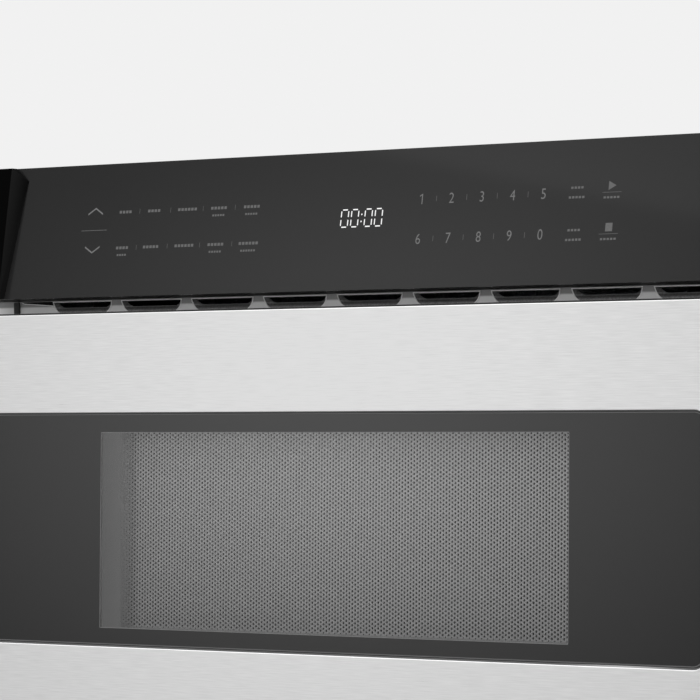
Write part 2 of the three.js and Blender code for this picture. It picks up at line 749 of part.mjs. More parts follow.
// A cap stands proud of the glass, with a facet that widens towards its top, and wraps round the end.
function endCap(side) {
  const inner = frontSide - CAP_WIDTH;
  const chamferTop = panelTop - CAP_CHAMFER_DROP;
  const front = [
    [frontSide, panelBottom],
    [inner, panelBottom],
    [inner, panelTop],
    [frontSide, panelTop],
  ];
  const back = [
    [frontSide, panelBottom],
    [inner - CAP_BEVEL_BOTTOM, panelBottom],
    [inner - CAP_BEVEL_TOP, chamferTop - CAP_CHAMFER_HEIGHT],
    [inner - CAP_BEVEL_TOP + CAP_CHAMFER_WIDTH, chamferTop],
    [inner, panelTop],
    [frontSide, panelTop],
  ];
  const points = [
    ...front.map(([x, z]) => new THREE.Vector3(side * x, panelY(z, -CAP_PROUD), z)),
    ...back.map(([x, z]) => new THREE.Vector3(side * x, panelY(z, -GAP), z)),
  ];
  const face = solid(new ConvexGeometry(points));
  const cheek = prism(
    "x",
    [
      [panelY(panelBottom, -CAP_PROUD / 2), panelBottom],
      [flangeY - GAP, panelBottom],
      [flangeY - GAP, panelTop],
      [panelY(panelTop, -CAP_PROUD / 2), panelTop],
    ],
    ...across(side, frontSide - CAP_CHEEK, frontSide),
  );
  return join(face, cheek);
}

// ---- Drawer front ----

function frontSkin() {
  const z = [FRONT_BOTTOM, frontTop];
  const pan = prism("y", roundedRectangle(both(frontSide), z, FRONT_CORNER), frontY, frontRearY);
  const pocket = box(both(frontSide - FRONT_SHEET), [frontY + FRONT_SHEET, frontRearY + PAST], [
    FRONT_BOTTOM + FRONT_SHEET,
    frontTop - FRONT_SHEET,
  ]);
  const rimOutline = roundedRectangle(
    both(glassSide + FRONT_SHEET),
    [glassBottom - FRONT_SHEET, glassTop + FRONT_SHEET],
    GLASS_CORNER + FRONT_SHEET,
  );
  const rim = prism("y", rimOutline, frontY + FRONT_SHEET / 2, glassRearY);
  const openingOutline = roundedRectangle(both(glassSide), [glassBottom, glassTop], GLASS_CORNER);
  const opening = prism("y", openingOutline, frontY - PAST, frontRearY + PAST);
  return cut(join(cut(pan, pocket), rim), opening);
}

function frontGlass() {
  const gap = GLASS_EDGE_GAP;
  const z = [glassBottom + gap, glassTop - gap];
  const outline = roundedRectangle(both(glassSide - gap), z, GLASS_CORNER - gap);
  return prism("y", outline, glassFrontY, glassRearY);
}

function innerFrame() {
  const reach = frontSide - FRONT_SHEET - GAP;
  const low = FRONT_BOTTOM + FRONT_SHEET + GAP;
  const high = frontTop - FRONT_SHEET - GAP;
  const y = [glassRearY + GAP, frontRearY];
  const block = box(both(reach), y, [low, high]);
  const pocket = box(both(reach - INNER_FRAME_WALL), [y[0] - PAST, y[1] - INNER_FRAME_WALL], [
    low + INNER_FRAME_WALL,
    high - INNER_FRAME_WALL,
  ]);
  const tunnel = box(both(tunnelSide + TUNNEL_WALL), y, [
    tunnelBottom - TUNNEL_WALL,
    tunnelTop + TUNNEL_WALL,
  ]);
  const hole = box(both(tunnelSide), [y[0] - PAST, y[1] + PAST], [tunnelBottom, tunnelTop]);
  return cut(join(cut(block, pocket), tunnel), hole);
}

function tunnelPane(near, thickness) {
  return box(both(tunnelSide - GAP), [near, near + thickness], [tunnelBottom + GAP, tunnelTop - GAP]);
}

function drawerSeal() {
  const y = [boxFrontY, flangeY - SEAL_TO_FLANGE];
  const outside = box(both(cavityHalf + SEAL_OVERLAP), y, [
    cavityFloor - SEAL_OVERLAP,
    cavityTop + SEAL_OVERLAP,
  ]);
  const inside = box(both(boxSide + GAP), [y[0] - PAST, y[1] + PAST], [boxBottom - GAP, boxTop + GAP]);
  return cut(outside, inside);
}

// ---- Drawer box, slides and drive ----

function drawerBox() {
  const outside = box(both(boxSide), [boxFrontY, boxRearY], [boxBottom, boxTop]);
  const inside = box(both(boxSide - BOX_SHEET), [boxFrontY + BOX_SHEET, boxRearY - BOX_SHEET], [
    boxBottom + BOX_SHEET,
    boxTop + PAST,
  ]);
  const floorHole = box(both(boxSide - BOX_LEDGE), [boxFrontY + BOX_LEDGE, boxRearY - BOX_LEDGE], [
    boxBottom - PAST,
    boxBottom + BOX_SHEET + PAST,
  ]);
  const view = box(both(tunnelSide), [boxFrontY - PAST, boxFrontY + BOX_SHEET + PAST], [
    tunnelBottom,
    Math.min(tunnelTop, boxTop - BOX_SHEET),
  ]);
  return cut(outside, inside, floorHole, view);
}

function ceramicTray() {
  const low = boxBottom + BOX_SHEET + GAP;
  const edge = BOX_SHEET + TRAY_CLEARANCE;
  return box(both(boxSide - edge), [boxFrontY + edge, boxRearY - edge], [low, low + TRAY_THICKNESS]);
}

function drawerArm(side) {
  const z = [armBottom, armBottom + ARM_HEIGHT];
  const plate = box(across(side, armInnerX, armX), [boxFrontY, rackRearY], z);
  const flangeLow = rackTop + GAP;
  const flange = box(across(side, armX - ARM_FLANGE, armX), [boxFrontY, boxFrontY + ARM_SHEET], [
    flangeLow,
    z[1],
  ]);
  return join(plate, flange);
}

// A rail of C section, its back towards the arm or towards the case.
function cRail(side, back, edge, halfHeight, lip) {
  const inward = back > edge;
  const wall = SLIDE_WALL;
  const x = (value) => side * value;
  const backInner = inward ? back - wall : back + wall;
  const outline = [
    [x(back), slideZ - halfHeight],
    [x(back), slideZ + halfHeight],
    [x(edge), slideZ + halfHeight],
    [x(edge), slideZ + halfHeight - lip],
  ];
  if (lip > wall) {
    const lipInner = inward ? edge + wall : edge - wall;
    outline.push([x(lipInner), slideZ + halfHeight - lip]);
    outline.push([x(lipInner), slideZ + halfHeight - wall]);
  }
  outline.push([x(backInner), slideZ + halfHeight - wall]);
  outline.push([x(backInner), slideZ - halfHeight + wall]);
  if (lip > wall) {
    const lipInner = inward ? edge + wall : edge - wall;
    outline.push([x(lipInner), slideZ - halfHeight + wall]);
    outline.push([x(lipInner), slideZ - halfHeight + lip]);
  }
  outline.push([x(edge), slideZ - halfHeight + lip]);
  outline.push([x(edge), slideZ - halfHeight]);
  return prism("y", outline, slideFrontY, slideRearY);
}

const outerHalf = SLIDE_HEIGHT / 2;
const middleHalf = outerHalf - SLIDE_WALL - SLIDE_CLEARANCE;
const innerHalf = middleHalf - SLIDE_WALL - SLIDE_CLEARANCE;
const middleBackX = slideOuterX - SLIDE_WALL - 2 * SLIDE_CLEARANCE - SLIDE_WALL;

function outerRail(side) {
  return cRail(side, slideOuterX, slideInnerX, outerHalf, SLIDE_WALL);
}

function middleRail(side) {
  return cRail(side, middleBackX, slideInnerX + SLIDE_CLEARANCE, middleHalf, SLIDE_WALL);
}

function innerRail(side) {
  return cRail(side, innerRailX, middleBackX - SLIDE_WALL - 2 * SLIDE_CLEARANCE, innerHalf, SLIDE_WALL);
}

// The rack's teeth hang down, with a space over the middle of the pinion.
function rack(side) {
  const pitch = Math.PI * TOOTH_MODULE;
  const slope = Math.tan(THREE.MathUtils.degToRad(PRESSURE_ANGLE));
  const root = rackPitchZ + addendum + ROOT_CLEARANCE;
  const tip = rackPitchZ - addendum;
  const half = pitch / 4 - TOOTH_BACKLASH / 2;
  const first = Math.ceil((slideFrontY + pitch - shaftY) / pitch - 0.5);
  const last = Math.floor((rackRearY - pitch - shaftY) / pitch - 0.5);
  const outline = [
    [slideFrontY, rackTop],
    [slideFrontY, root],
  ];
  for (let i = first; i <= last; i++) {
    const middle = shaftY + (i + 0.5) * pitch;
    const atRoot = half + (root - rackPitchZ) * slope;
    const atTip = half - addendum * slope;
    outline.push([middle - atRoot, root]);
    outline.push([middle - atTip, tip]);
    outline.push([middle + atTip, tip]);
    outline.push([middle + atRoot, root]);
  }
  outline.push([rackRearY, root]);
  outline.push([rackRearY, rackTop]);
  return prism("x", outline, ...across(side, rackInnerX, rackX));
}

// The outline of a spur gear with involute flanks, round the origin, one tooth at the angle given.
function gearOutline(teeth, toothAngle) {
  const pitchRadius = (TOOTH_MODULE * teeth) / 2;
  const pressure = THREE.MathUtils.degToRad(PRESSURE_ANGLE);
  const baseRadius = pitchRadius * Math.cos(pressure);
  const involute = (radius) => {
    const angle = Math.acos(Math.min(1, baseRadius / radius));
    return Math.tan(angle) - angle;
  };
  const rootRadius = pitchRadius - addendum - ROOT_CLEARANCE;
  const tipRadius = pitchRadius + addendum;
  const halfAtPitch = (Math.PI * TOOTH_MODULE / 2 - TOOTH_BACKLASH) / 2 / pitchRadius;
  const halfAt = (radius) => halfAtPitch + involute(pitchRadius) - involute(radius);
  const foot = Math.max(rootRadius, baseRadius);
  const stations = [
    [rootRadius, halfAt(foot)],
    [pitchRadius, halfAt(pitchRadius)],
    [tipRadius, halfAt(tipRadius)],
  ];
  const points = [];
  for (let i = 0; i < teeth; i++) {
    const middle = toothAngle + (i * 2 * Math.PI) / teeth;
    const rising = stations.map(([radius, half]) => [radius, middle - half]);
    const falling = stations.map(([radius, half]) => [radius, middle + half]).reverse();
    for (const [radius, angle] of [...rising, ...falling]) {
      points.push([radius * Math.cos(angle), radius * Math.sin(angle)]);
    }
  }
  return points;
}

function gear(teeth, toothAngle, y, low, high) {
  const outline = gearOutline(teeth, toothAngle).map(([u, v]) => [y + u, shaftZ + v]);
  return prism("x", outline, low, high);
}

function pinion(side) {
  const x = across(side, pinionX - PINION_WIDTH / 2, pinionX + PINION_WIDTH / 2);
  const bore = rod("x", [shaftY, shaftZ], SHAFT_RADIUS + GAP, x[0] - PAST, x[1] + PAST, SHAFT_SIDES);
  return cut(gear(PINION_TEETH, Math.PI / 2, shaftY, ...x), bore);
}

function driveShaft() {
  const end = pinionX + PINION_WIDTH / 2 + SHAFT_OVERHANG;
  const bar = rod("x", [shaftY, shaftZ], SHAFT_RADIUS, -end, end, SHAFT_SIDES);
  const half = DRIVE_GEAR_WIDTH / 2;
  return join(bar, gear(PINION_TEETH, 0, shaftY, DRIVE_GEAR_X - half, DRIVE_GEAR_X + half));
}

function shaftBearing(side) {
  const outer = pinionX - PINION_WIDTH / 2 - BEARING_TO_PINION;
  const x = across(side, outer - BEARING_WIDTH, outer);
  const y = [shaftY - BEARING_LENGTH / 2, shaftY + BEARING_LENGTH / 2];
  const bore = SHAFT_RADIUS + GAP;
  const block = box(x, y, [BASE_SHEET + GAP, shaftZ + bore + BEARING_WALL]);
  return cut(block, rod("x", [shaftY, shaftZ], bore, x[0] - PAST, x[1] + PAST, SHAFT_SIDES));
}

const motorPlateX = DRIVE_GEAR_X + DRIVE_GEAR_WIDTH / 2 + HUB_CLEARANCE;
const gearboxX = motorPlateX + MOTOR_PLATE + GAP;

function motorPinion() {
  const low = DRIVE_GEAR_X - DRIVE_GEAR_WIDTH / 2;
  const high = DRIVE_GEAR_X + DRIVE_GEAR_WIDTH / 2;
  const space = Math.PI / MOTOR_TEETH;
  const teeth = gear(MOTOR_TEETH, Math.PI + space, motorY, low, high);
  return join(teeth, rod("x", [motorY, shaftZ], HUB_RADIUS, high - PAST, gearboxX - GAP, SHAFT_SIDES));
}

function motorBracket() {
  const half = GEARBOX_RADIUS + BRACKET_MARGIN;
  const y = [motorY - half, motorY + half];
  const low = BASE_SHEET + GAP;
  const plate = box([motorPlateX, motorPlateX + MOTOR_PLATE], y, [low, shaftZ + GEARBOX_RADIUS]);
  const foot = box([motorPlateX, motorPlateX + MOTOR_FOOT], y, [low, low + MOTOR_PLATE]);
  const hole = rod(
    "x",
    [motorY, shaftZ],
    HUB_RADIUS + HUB_CLEARANCE,
    motorPlateX - PAST,
    motorPlateX + MOTOR_PLATE + PAST,
    SHAFT_SIDES,
  );
  return cut(join(plate, foot), hole);
}

function driveMotor() {
  const end = gearboxX + GEARBOX_LENGTH;
  const gearbox = rod("x", [motorY, shaftZ], GEARBOX_RADIUS, gearboxX, end);
  return join(gearbox, rod("x", [motorY, shaftZ], MOTOR_RADIUS, end - PAST, end + MOTOR_LENGTH));
}

function latchHook(side) {
  const endY = boxFrontY + LATCH_LENGTH;
  const outline = [
    [boxFrontY, latchZ],
    [endY, latchZ],
    [endY, latchZ + LATCH_HEIGHT + LATCH_HOOK / 2],
    [endY - LATCH_HOOK, latchZ + LATCH_HEIGHT + LATCH_HOOK],
    [endY - 2 * LATCH_HOOK, latchZ + LATCH_HEIGHT + LATCH_HOOK],
    [endY - 2 * LATCH_HOOK, latchZ + LATCH_HEIGHT],
    [boxFrontY, latchZ + LATCH_HEIGHT],
  ];
  const x = across(side, latchX - LATCH_SHEET / 2, latchX + LATCH_SHEET / 2);
  return prism("x", outline, ...x);
}

function interlockSwitch(side) {
  const inner = latchX + LATCH_SHEET / 2 + 2 * GAP;
  const y = [bodyY + SWITCH_SETBACK, bodyY + SWITCH_SETBACK + SWITCH_LENGTH];
  const body = box(across(side, inner, inner + SWITCH_WIDTH), y, [latchZ, latchZ + SWITCH_HEIGHT]);
  const inset = SWITCH_POST_INSET;
  const post = box(across(side, inner + inset, inner + SWITCH_WIDTH - inset), [y[0] + inset, y[1] - inset], [
    cavityRoof + GAP,
    latchZ + PAST,
  ]);
  return join(body, post);
}

// ---- Microwave parts ----

function waveguide() {
  const half = WAVEGUIDE_WIDTH / 2;
  const y = [cavityMiddleY - WAVEGUIDE_FRONT, bayMiddleY + MAGNETRON_DEPTH / 2];
  const outside = box(both(half), y, [waveguideBottom, waveguideTop]);
  const wall = WAVEGUIDE_WALL;
  const inside = box(both(half - wall), [y[0] + wall, y[1] - wall], [
    waveguideBottom + wall,
    waveguideTop - wall,
  ]);
  const port = rod("z", [0, cavityMiddleY], WAVEGUIDE_PORT, waveguideTop - wall - PAST, waveguideTop + PAST);
  const antennaPort = rod(
    "z",
    [0, bayMiddleY],
    ANTENNA_RADIUS + ANTENNA_CLEARANCE,
    waveguideTop - wall - PAST,
    waveguideTop + PAST,
  );
  const shaftPort = rod(
    "z",
    [0, cavityMiddleY],
    STIRRER_SHAFT + STIRRER_SHAFT_CLEARANCE,
    waveguideBottom - PAST,
    waveguideBottom + wall + PAST,
  );
  return cut(outside, inside, port, antennaPort, shaftPort);
}

function stirrerMotor() {
  const top = waveguideBottom - GAP;
  return rod("z", [0, cavityMiddleY], STIRRER_MOTOR_RADIUS, top - STIRRER_MOTOR_HEIGHT, top);
}

function stirrer() {
  const centre = [0, cavityMiddleY];
  const top = stirrerZ + STIRRER_PLATE;
  const half = STIRRER_ARM_WIDTH / 2;
  const long = box(both(STIRRER_RADIUS), [cavityMiddleY - half, cavityMiddleY + half], [stirrerZ, top]);
  const reach = STIRRER_SHORT_RADIUS;
  const short = box(both(half), [cavityMiddleY - reach, cavityMiddleY + reach], [stirrerZ, top]);
  const shaft = rod("z", centre, STIRRER_SHAFT, waveguideBottom, top, SHAFT_SIDES);
  const hub = rod("z", centre, STIRRER_HUB, stirrerZ, top + STIRRER_HUB_RISE, SHAFT_SIDES);
  return join(long, short, shaft, hub);
}

function magnetron() {
  const half = MAGNETRON_WIDTH / 2;
  const low = waveguideTop + GAP;
  const y = [bayMiddleY - MAGNETRON_DEPTH / 2, bayMiddleY + MAGNETRON_DEPTH / 2];
  const top = low + MAGNETRON_HEIGHT;
  const yoke = box(both(half), y, [low, top]);
  const inside = box(both(half + PAST), [y[0] + MAGNETRON_PLATE, y[1] - MAGNETRON_PLATE], [
    low + MAGNETRON_PLATE,
    top - MAGNETRON_PLATE,
  ]);
  const core = rod("z", [0, bayMiddleY], MAGNETRON_CORE, low + PAST, top - PAST);
  const fins = [];
  const pitch = MAGNETRON_HEIGHT / (MAGNETRON_FINS + 1);
  for (let i = 1; i <= MAGNETRON_FINS; i++) {
    const z = low + i * pitch;
    const fin = [z - MAGNETRON_FIN_SHEET / 2, z + MAGNETRON_FIN_SHEET / 2];
    fins.push(box(both(half - MAGNETRON_FIN_INSET), y, fin));
  }
  const inset = MAGNETRON_FILTER_INSET;
  const filter = box(both(half - inset), [y[0] + inset / 2, y[1] - inset / 2], [
    top - PAST,
    top + MAGNETRON_FILTER_HEIGHT,
  ]);
  const antenna = rod("z", [0, bayMiddleY], ANTENNA_RADIUS, low - ANTENNA_LENGTH, low + PAST);
  return join(cut(yoke, inside), core, ...fins, filter, antenna);
}

function transformer() {
  const low = BASE_SHEET + GAP;
  const half = TRANSFORMER_WIDTH / 2;
  const coreHalf = TRANSFORMER_CORE_DEPTH / 2;
  const top = low + TRANSFORMER_HEIGHT;
  const span = (reach) => [TRANSFORMER_X - reach, TRANSFORMER_X + reach];
  const core = box(span(half), [bayMiddleY - coreHalf, bayMiddleY + coreHalf], [low, top]);
  const inset = TRANSFORMER_COIL_INSET;
  const reach = coreHalf + TRANSFORMER_COIL;
  const coilOutline = roundedRectangle(
    span(half - inset),
    [bayMiddleY - reach, bayMiddleY + reach],
    TRANSFORMER_COIL,
  );
  const coils = prism("z", coilOutline, low + inset, top - inset);
  const foot = box(
    span(half + TRANSFORMER_FOOT),
    [bayMiddleY - coreHalf, bayMiddleY + coreHalf],
    [low, low + TRANSFORMER_FOOT_HEIGHT],
  );
  return join(core, coils, foot);
}

function capacitor() {
  const low = BASE_SHEET + GAP;
  const x = [CAPACITOR_X - CAPACITOR_WIDTH / 2, CAPACITOR_X + CAPACITOR_WIDTH / 2];
  const y = [bayMiddleY - CAPACITOR_DEPTH / 2, bayMiddleY + CAPACITOR_DEPTH / 2];
  const top = low + CAPACITOR_HEIGHT;
  const can = prism("z", roundedRectangle(x, y, CAPACITOR_CORNER), low, top);
  const terminals = [-1, 1].map((side) => {
    const centre = [CAPACITOR_X + (side * CAPACITOR_WIDTH) / 4, bayMiddleY];
    return rod("z", centre, CAPACITOR_TERMINAL / 2, top - PAST, top + CAPACITOR_TERMINAL, SCREW_SIDES);
  });
  return join(can, ...terminals);
}

// ---- Cooling fan ----
const fanRearY = rearInnerY - GAP;
const fanFrontY = fanRearY - FAN_DEPTH;

function fanHousing() {
  const half = FAN_SIZE / 2;
  const x = [FAN_X - half, FAN_X + half];
  const block = box(x, [fanFrontY, fanRearY], [FAN_Z - half, FAN_Z + half]);
  return cut(block, rod("y", [FAN_X, FAN_Z], FAN_BORE, fanFrontY - PAST, fanRearY + PAST));
}

function fanMotor() {
  const far = fanFrontY - GAP;
  const reach = FAN_SIZE / 2;
  const half = FAN_BAR_WIDTH / 2;
  const bar = box([FAN_X - reach, FAN_X + reach], [far - FAN_BAR_SHEET, far], [FAN_Z - half, FAN_Z + half]);
  const motorHalf = FAN_MOTOR_SIZE / 2;
  const stator = box(
    [FAN_X - motorHalf, FAN_X + motorHalf],
    [far - FAN_BAR_SHEET - FAN_MOTOR_LENGTH, far - FAN_BAR_SHEET / 2],
    [FAN_Z - motorHalf, FAN_Z + motorHalf],
  );
  const tail = far - FAN_MOTOR_LENGTH - FAN_MOTOR_TAIL;
  const can = rod("y", [FAN_X, FAN_Z], FAN_ROTOR_RADIUS, tail, far - FAN_BAR_SHEET / 2);
  return join(bar, stator, can);
}

function fanBlades() {
  const middle = (fanFrontY + fanRearY) / 2;
  const centre = [FAN_X, FAN_Z];
  const hub = rod("y", centre, FAN_HUB_RADIUS, middle - FAN_HUB_LENGTH / 2, middle + FAN_HUB_LENGTH / 2);
  const shaft = rod("y", centre, FAN_SHAFT, fanFrontY, middle, SCREW_SIDES);
  const length = FAN_BORE - FAN_TIP_CLEARANCE - FAN_HUB_RADIUS + FAN_BLADE_ROOT;
  const blades = [];
  for (let i = 0; i < FAN_BLADES; i++) {
    const geometry = new THREE.BoxGeometry(length, FAN_BLADE_SHEET, FAN_BLADE_WIDTH);
    geometry.rotateX(THREE.MathUtils.degToRad(FAN_BLADE_ANGLE));
    geometry.translate(FAN_HUB_RADIUS - FAN_BLADE_ROOT + length / 2, 0, 0);
    geometry.rotateY((i * 2 * Math.PI) / FAN_BLADES);
    geometry.translate(FAN_X, middle, FAN_Z);
    blades.push(solid(geometry));
  }
  return join(hub, shaft, ...blades);
}

// ---- Electrics on the roof ----

function powerBoard() {
  const low = cavityRoof + GAP;
  const x = [BOARD_X - BOARD_WIDTH / 2, BOARD_X + BOARD_WIDTH / 2];
  const y = [roofPartsY, roofPartsY + BOARD_LENGTH];
  const z = [low + BOARD_STANDOFF, low + BOARD_STANDOFF + BOARD_SHEET];
  const board = box(x, y, z);
  const middle = (z[0] + z[1]) / 2;
  const inset = BOARD_POST_INSET;
  const posts = [x[0] + inset, x[1] - inset].flatMap((px) =>
    [y[0] + inset, y[1] - inset].map((py) => rod("z", [px, py], BOARD_POST_RADIUS, low, middle, SCREW_SIDES)),
  );
  const onBoard = (offset, setback, width, length, height) => {
    const near = y[0] + setback;
    const centre = BOARD_X + offset;
    return box([centre - width / 2, centre + width / 2], [near, near + length], [middle, z[1] + height]);
  };
  const relay = onBoard(RELAY_X, RELAY_SETBACK, RELAY_WIDTH, RELAY_LENGTH, RELAY_HEIGHT);
  const choke = onBoard(CHOKE_X, CHOKE_SETBACK, CHOKE_SIZE, CHOKE_SIZE, CHOKE_HEIGHT);
  const sink = onBoard(SINK_X, SINK_SETBACK, SINK_WIDTH, SINK_LENGTH, SINK_HEIGHT);
  return join(board, ...posts, relay, choke, sink);
}

function lineFilter() {
  const low = cavityRoof + GAP;
  const x = [FILTER_X - FILTER_WIDTH / 2, FILTER_X + FILTER_WIDTH / 2];
  const y = [roofPartsY, roofPartsY + FILTER_LENGTH];
  return box(x, y, [low, low + FILTER_HEIGHT]);
}

function cavityLamp() {
  const low = cavityRoof + GAP;
  const half = LAMP_SIZE / 2;
  const holder = box([LAMP_X - half, LAMP_X + half], [lampY - half, lampY + half], [low, low + LAMP_HEIGHT]);
  const well = rod("z", [LAMP_X, lampY], LAMP_PORT, low - PAST, low + LAMP_WELL);
  const bulb = rod("z", [LAMP_X, lampY], BULB_RADIUS, low + BULB_LIFT, low + BULB_TOP, SHAFT_SIDES);
  return join(cut(holder, well), bulb);
}

// ---- The pieces, put together ----
place(cabinet, "base_plate", basePlate(), materials.zinc);
place(cabinet, "outer_cover", outerCover(), materials.zinc);
place(cabinet, "rear_panel", rearPanel(), materials.zinc);
place(cabinet, "front_frame", frontFrame(), materials.greyPaint);
place(cabinet, "vent_strip", ventStrip(), materials.greyPaint);
place(cabinet, "exhaust_duct", exhaustDuct(), materials.zinc);
place(cabinet, "oven_cavity", ovenCavity(), materials.enamel);
place(cabinet, "waveguide", waveguide(), materials.zinc);
place(cabinet, "magnetron", magnetron(), materials.aluminium);
place(cabinet, "high_voltage_transformer", transformer(), materials.laminated);
place(cabinet, "high_voltage_capacitor", capacitor(), materials.aluminium);
place(cabinet, "fan_housing", fanHousing(), materials.blackPlastic);
place(cabinet, "fan_motor", fanMotor(), materials.laminated);
place(cabinet, "stirrer_motor", stirrerMotor(), materials.aluminium);
place(cabinet, "power_board", powerBoard(), materials.circuit);
place(cabinet, "line_filter", lineFilter(), materials.circuit);
place(cabinet, "cavity_lamp", cavityLamp(), materials.whitePlastic);
place(cabinet, "control_panel_housing", panelHousing(), materials.blackPlastic);
place(cabinet, "control_panel_glass", panelGlass(), materials.blackGlass);
place(cabinet, "control_board", controlBoard(), materials.circuit);
place(cabinet, "display_module", displayModule(), materials.blackPlastic);
place(cabinet, "drive_motor", driveMotor(), materials.zinc);
place(cabinet, "drive_motor_bracket", motorBracket(), materials.zinc);
place(cabinet, "cord_gland", cordGland(), materials.blackPlastic);
screwPlaces().forEach((centre, index) => {
  place(cabinet, "rear_screw_" + (index + 1), rearScrew(centre), materials.zinc);
});

place(drawer, "drawer_front_skin", frontSkin(), materials.steel);
place(drawer, "drawer_glass", frontGlass(), materials.blackGlass);
place(drawer, "drawer_inner_frame", innerFrame(), materials.blackPlastic);
const screenY = glassRearY + SCREEN_BEHIND_GLASS;
place(drawer, "perforated_screen", tunnelPane(screenY, SCREEN_SHEET), materials.screen);
const innerWindowY = frontRearY - INNER_WINDOW_THICKNESS;
place(drawer, "inner_window", tunnelPane(innerWindowY, INNER_WINDOW_THICKNESS), materials.clearGlass);
place(drawer, "drawer_seal", drawerSeal(), materials.rubber);
place(drawer, "drawer_box", drawerBox(), materials.enamel);
place(drawer, "ceramic_tray", ceramicTray(), materials.ceramic);

place(drive, "drive_shaft", driveShaft(), materials.zinc);
place(drive, "motor_pinion", motorPinion(), materials.gear);
place(drive, "stirrer", stirrer(), materials.aluminium);
place(drive, "fan_blades", fanBlades(), materials.whitePlastic);

for (const [side, name] of [
  [-1, "left"],
  [1, "right"],
]) {
  place(cabinet, name + "_end_cap", endCap(side), materials.blackPlastic);
  place(cabinet, name + "_slide_outer_rail", outerRail(side), materials.zinc);
  place(cabinet, name + "_shaft_bearing", shaftBearing(side), materials.whitePlastic);
  place(cabinet, name + "_interlock_switch", interlockSwitch(side), materials.blackPlastic);
  place(drawer, name + "_drawer_arm", drawerArm(side), materials.zinc);
  place(drawer, name + "_rack", rack(side), materials.gear);
  place(drawer, name + "_slide_inner_rail", innerRail(side), materials.zinc);
  place(drawer, name + "_latch_hook", latchHook(side), materials.zinc);
  place(drive, name + "_slide_middle_rail", middleRail(side), materials.zinc);
  place(drive, name + "_pinion", pinion(side), materials.gear);
}

const microwaveDrawer = new THREE.Group();
microwaveDrawer.add(cabinet, drawer, drive);
export default microwaveDrawer;
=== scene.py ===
import itertools
import math
import bmesh
import bpy
from mathutils import Matrix, Vector
from mathutils.geometry import tessellate_polygon


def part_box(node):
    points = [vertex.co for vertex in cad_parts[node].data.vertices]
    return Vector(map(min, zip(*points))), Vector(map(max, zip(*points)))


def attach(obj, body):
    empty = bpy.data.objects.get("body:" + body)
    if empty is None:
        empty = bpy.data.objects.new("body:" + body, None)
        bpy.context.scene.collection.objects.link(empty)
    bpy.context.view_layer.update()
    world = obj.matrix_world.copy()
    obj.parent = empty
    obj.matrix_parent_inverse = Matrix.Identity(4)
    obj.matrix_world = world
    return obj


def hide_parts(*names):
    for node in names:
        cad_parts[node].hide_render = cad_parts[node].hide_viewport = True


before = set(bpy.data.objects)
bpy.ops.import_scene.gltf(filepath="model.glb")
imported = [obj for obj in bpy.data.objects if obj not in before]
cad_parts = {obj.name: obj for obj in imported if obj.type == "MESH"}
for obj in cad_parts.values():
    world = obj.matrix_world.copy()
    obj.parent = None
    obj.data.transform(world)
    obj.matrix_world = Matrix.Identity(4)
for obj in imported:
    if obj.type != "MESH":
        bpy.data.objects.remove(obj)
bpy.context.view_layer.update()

# ---- Camera, floor and light ----
# The photograph's view: a long lens held low, from the right of the drawer front. A wide pale floor, a pale
# world all round and three broad soft lamps light the object at a plain level.
VIEW_FROM = (1.617153, -2.265905, 0.214781)
VIEW_TURN = math.radians(39.05203)
VIEW_RISE = math.radians(1.61405)
VIEW_ROLL = math.radians(0.38512)
LENS = 226.594
WHITE = (1, 1, 1, 1)
BACKGROUND = 0.88
WORLD_LIGHT = 0.62
FLOOR_COLOUR = (0.8, 0.8, 0.8, 1)
FLOOR_RADIUS = 60
FLOOR_DROP = 0.0002
FLOOR_CORNERS = 64
FLOOR_FADE = (0.9, 3.2)
LAMP_AIM = (0, 0, 0.2)

ahead = Vector((
    -math.sin(VIEW_TURN) * math.cos(VIEW_RISE),
    math.cos(VIEW_TURN) * math.cos(VIEW_RISE),
    math.sin(VIEW_RISE),
))
level_right = Vector((math.cos(VIEW_TURN), math.sin(VIEW_TURN), 0))
level_up = level_right.cross(ahead)
right = level_right * math.cos(VIEW_ROLL) + level_up * math.sin(VIEW_ROLL)
up = level_up * math.cos(VIEW_ROLL) - level_right * math.sin(VIEW_ROLL)


def in_scene(name, data):
    """A new object in the scene."""
    made = bpy.data.objects.new(name, data)
    bpy.context.scene.collection.objects.link(made)
    return made


camera = in_scene("camera", bpy.data.cameras.new("camera"))
camera.data.lens = LENS
camera.data.clip_end = 200
camera.matrix_world = Matrix.Translation(VIEW_FROM) @ Matrix((right, up, -ahead)).transposed().to_4x4()
bpy.context.scene.camera = camera
bpy.context.scene.view_settings.view_transform = "Standard"


def shader_node(tree, kind, values, **settings):
    """Adds a node. Each value is set on its socket, or linked to it where it is another node's output."""
    made = tree.nodes.new("ShaderNode" + kind)
    for name, setting in settings.items():
        setattr(made, name, setting)
    for socket, value in values.items():
        if isinstance(value, bpy.types.NodeSocket):
            tree.links.new(value, made.inputs[socket])
        else:
            made.inputs[socket].default_value = value
    return made


def seen_directly(tree):
    """1 for what the camera, a reflection or a clear pane shows, and a half for what lights the scene."""
    path = shader_node(tree, "LightPath", {})
    seen = 0.5
    for ray in ("Is Camera Ray", "Is Glossy Ray", "Is Transmission Ray"):
        seen = shader_node(tree, "Math", {0: path.outputs[ray], 1: seen}, operation="MAXIMUM").outputs[0]
    return seen


world = bpy.data.worlds.new("studio")
bpy.context.scene.world = world
world.use_nodes = True
sky = world.node_tree
lighting = sky.nodes["Background"]
lighting.inputs["Color"].default_value = WHITE
lighting.inputs["Strength"].default_value = WORLD_LIGHT
backdrop = shader_node(sky, "Background", {"Color": WHITE, "Strength": BACKGROUND})
either = shader_node(sky, "MixShader", {
    0: seen_directly(sky),
    1: lighting.outputs[0],
    2: backdrop.outputs[0],
})
sky.links.new(either.outputs[0], sky.nodes["World Output"].inputs["Surface"])

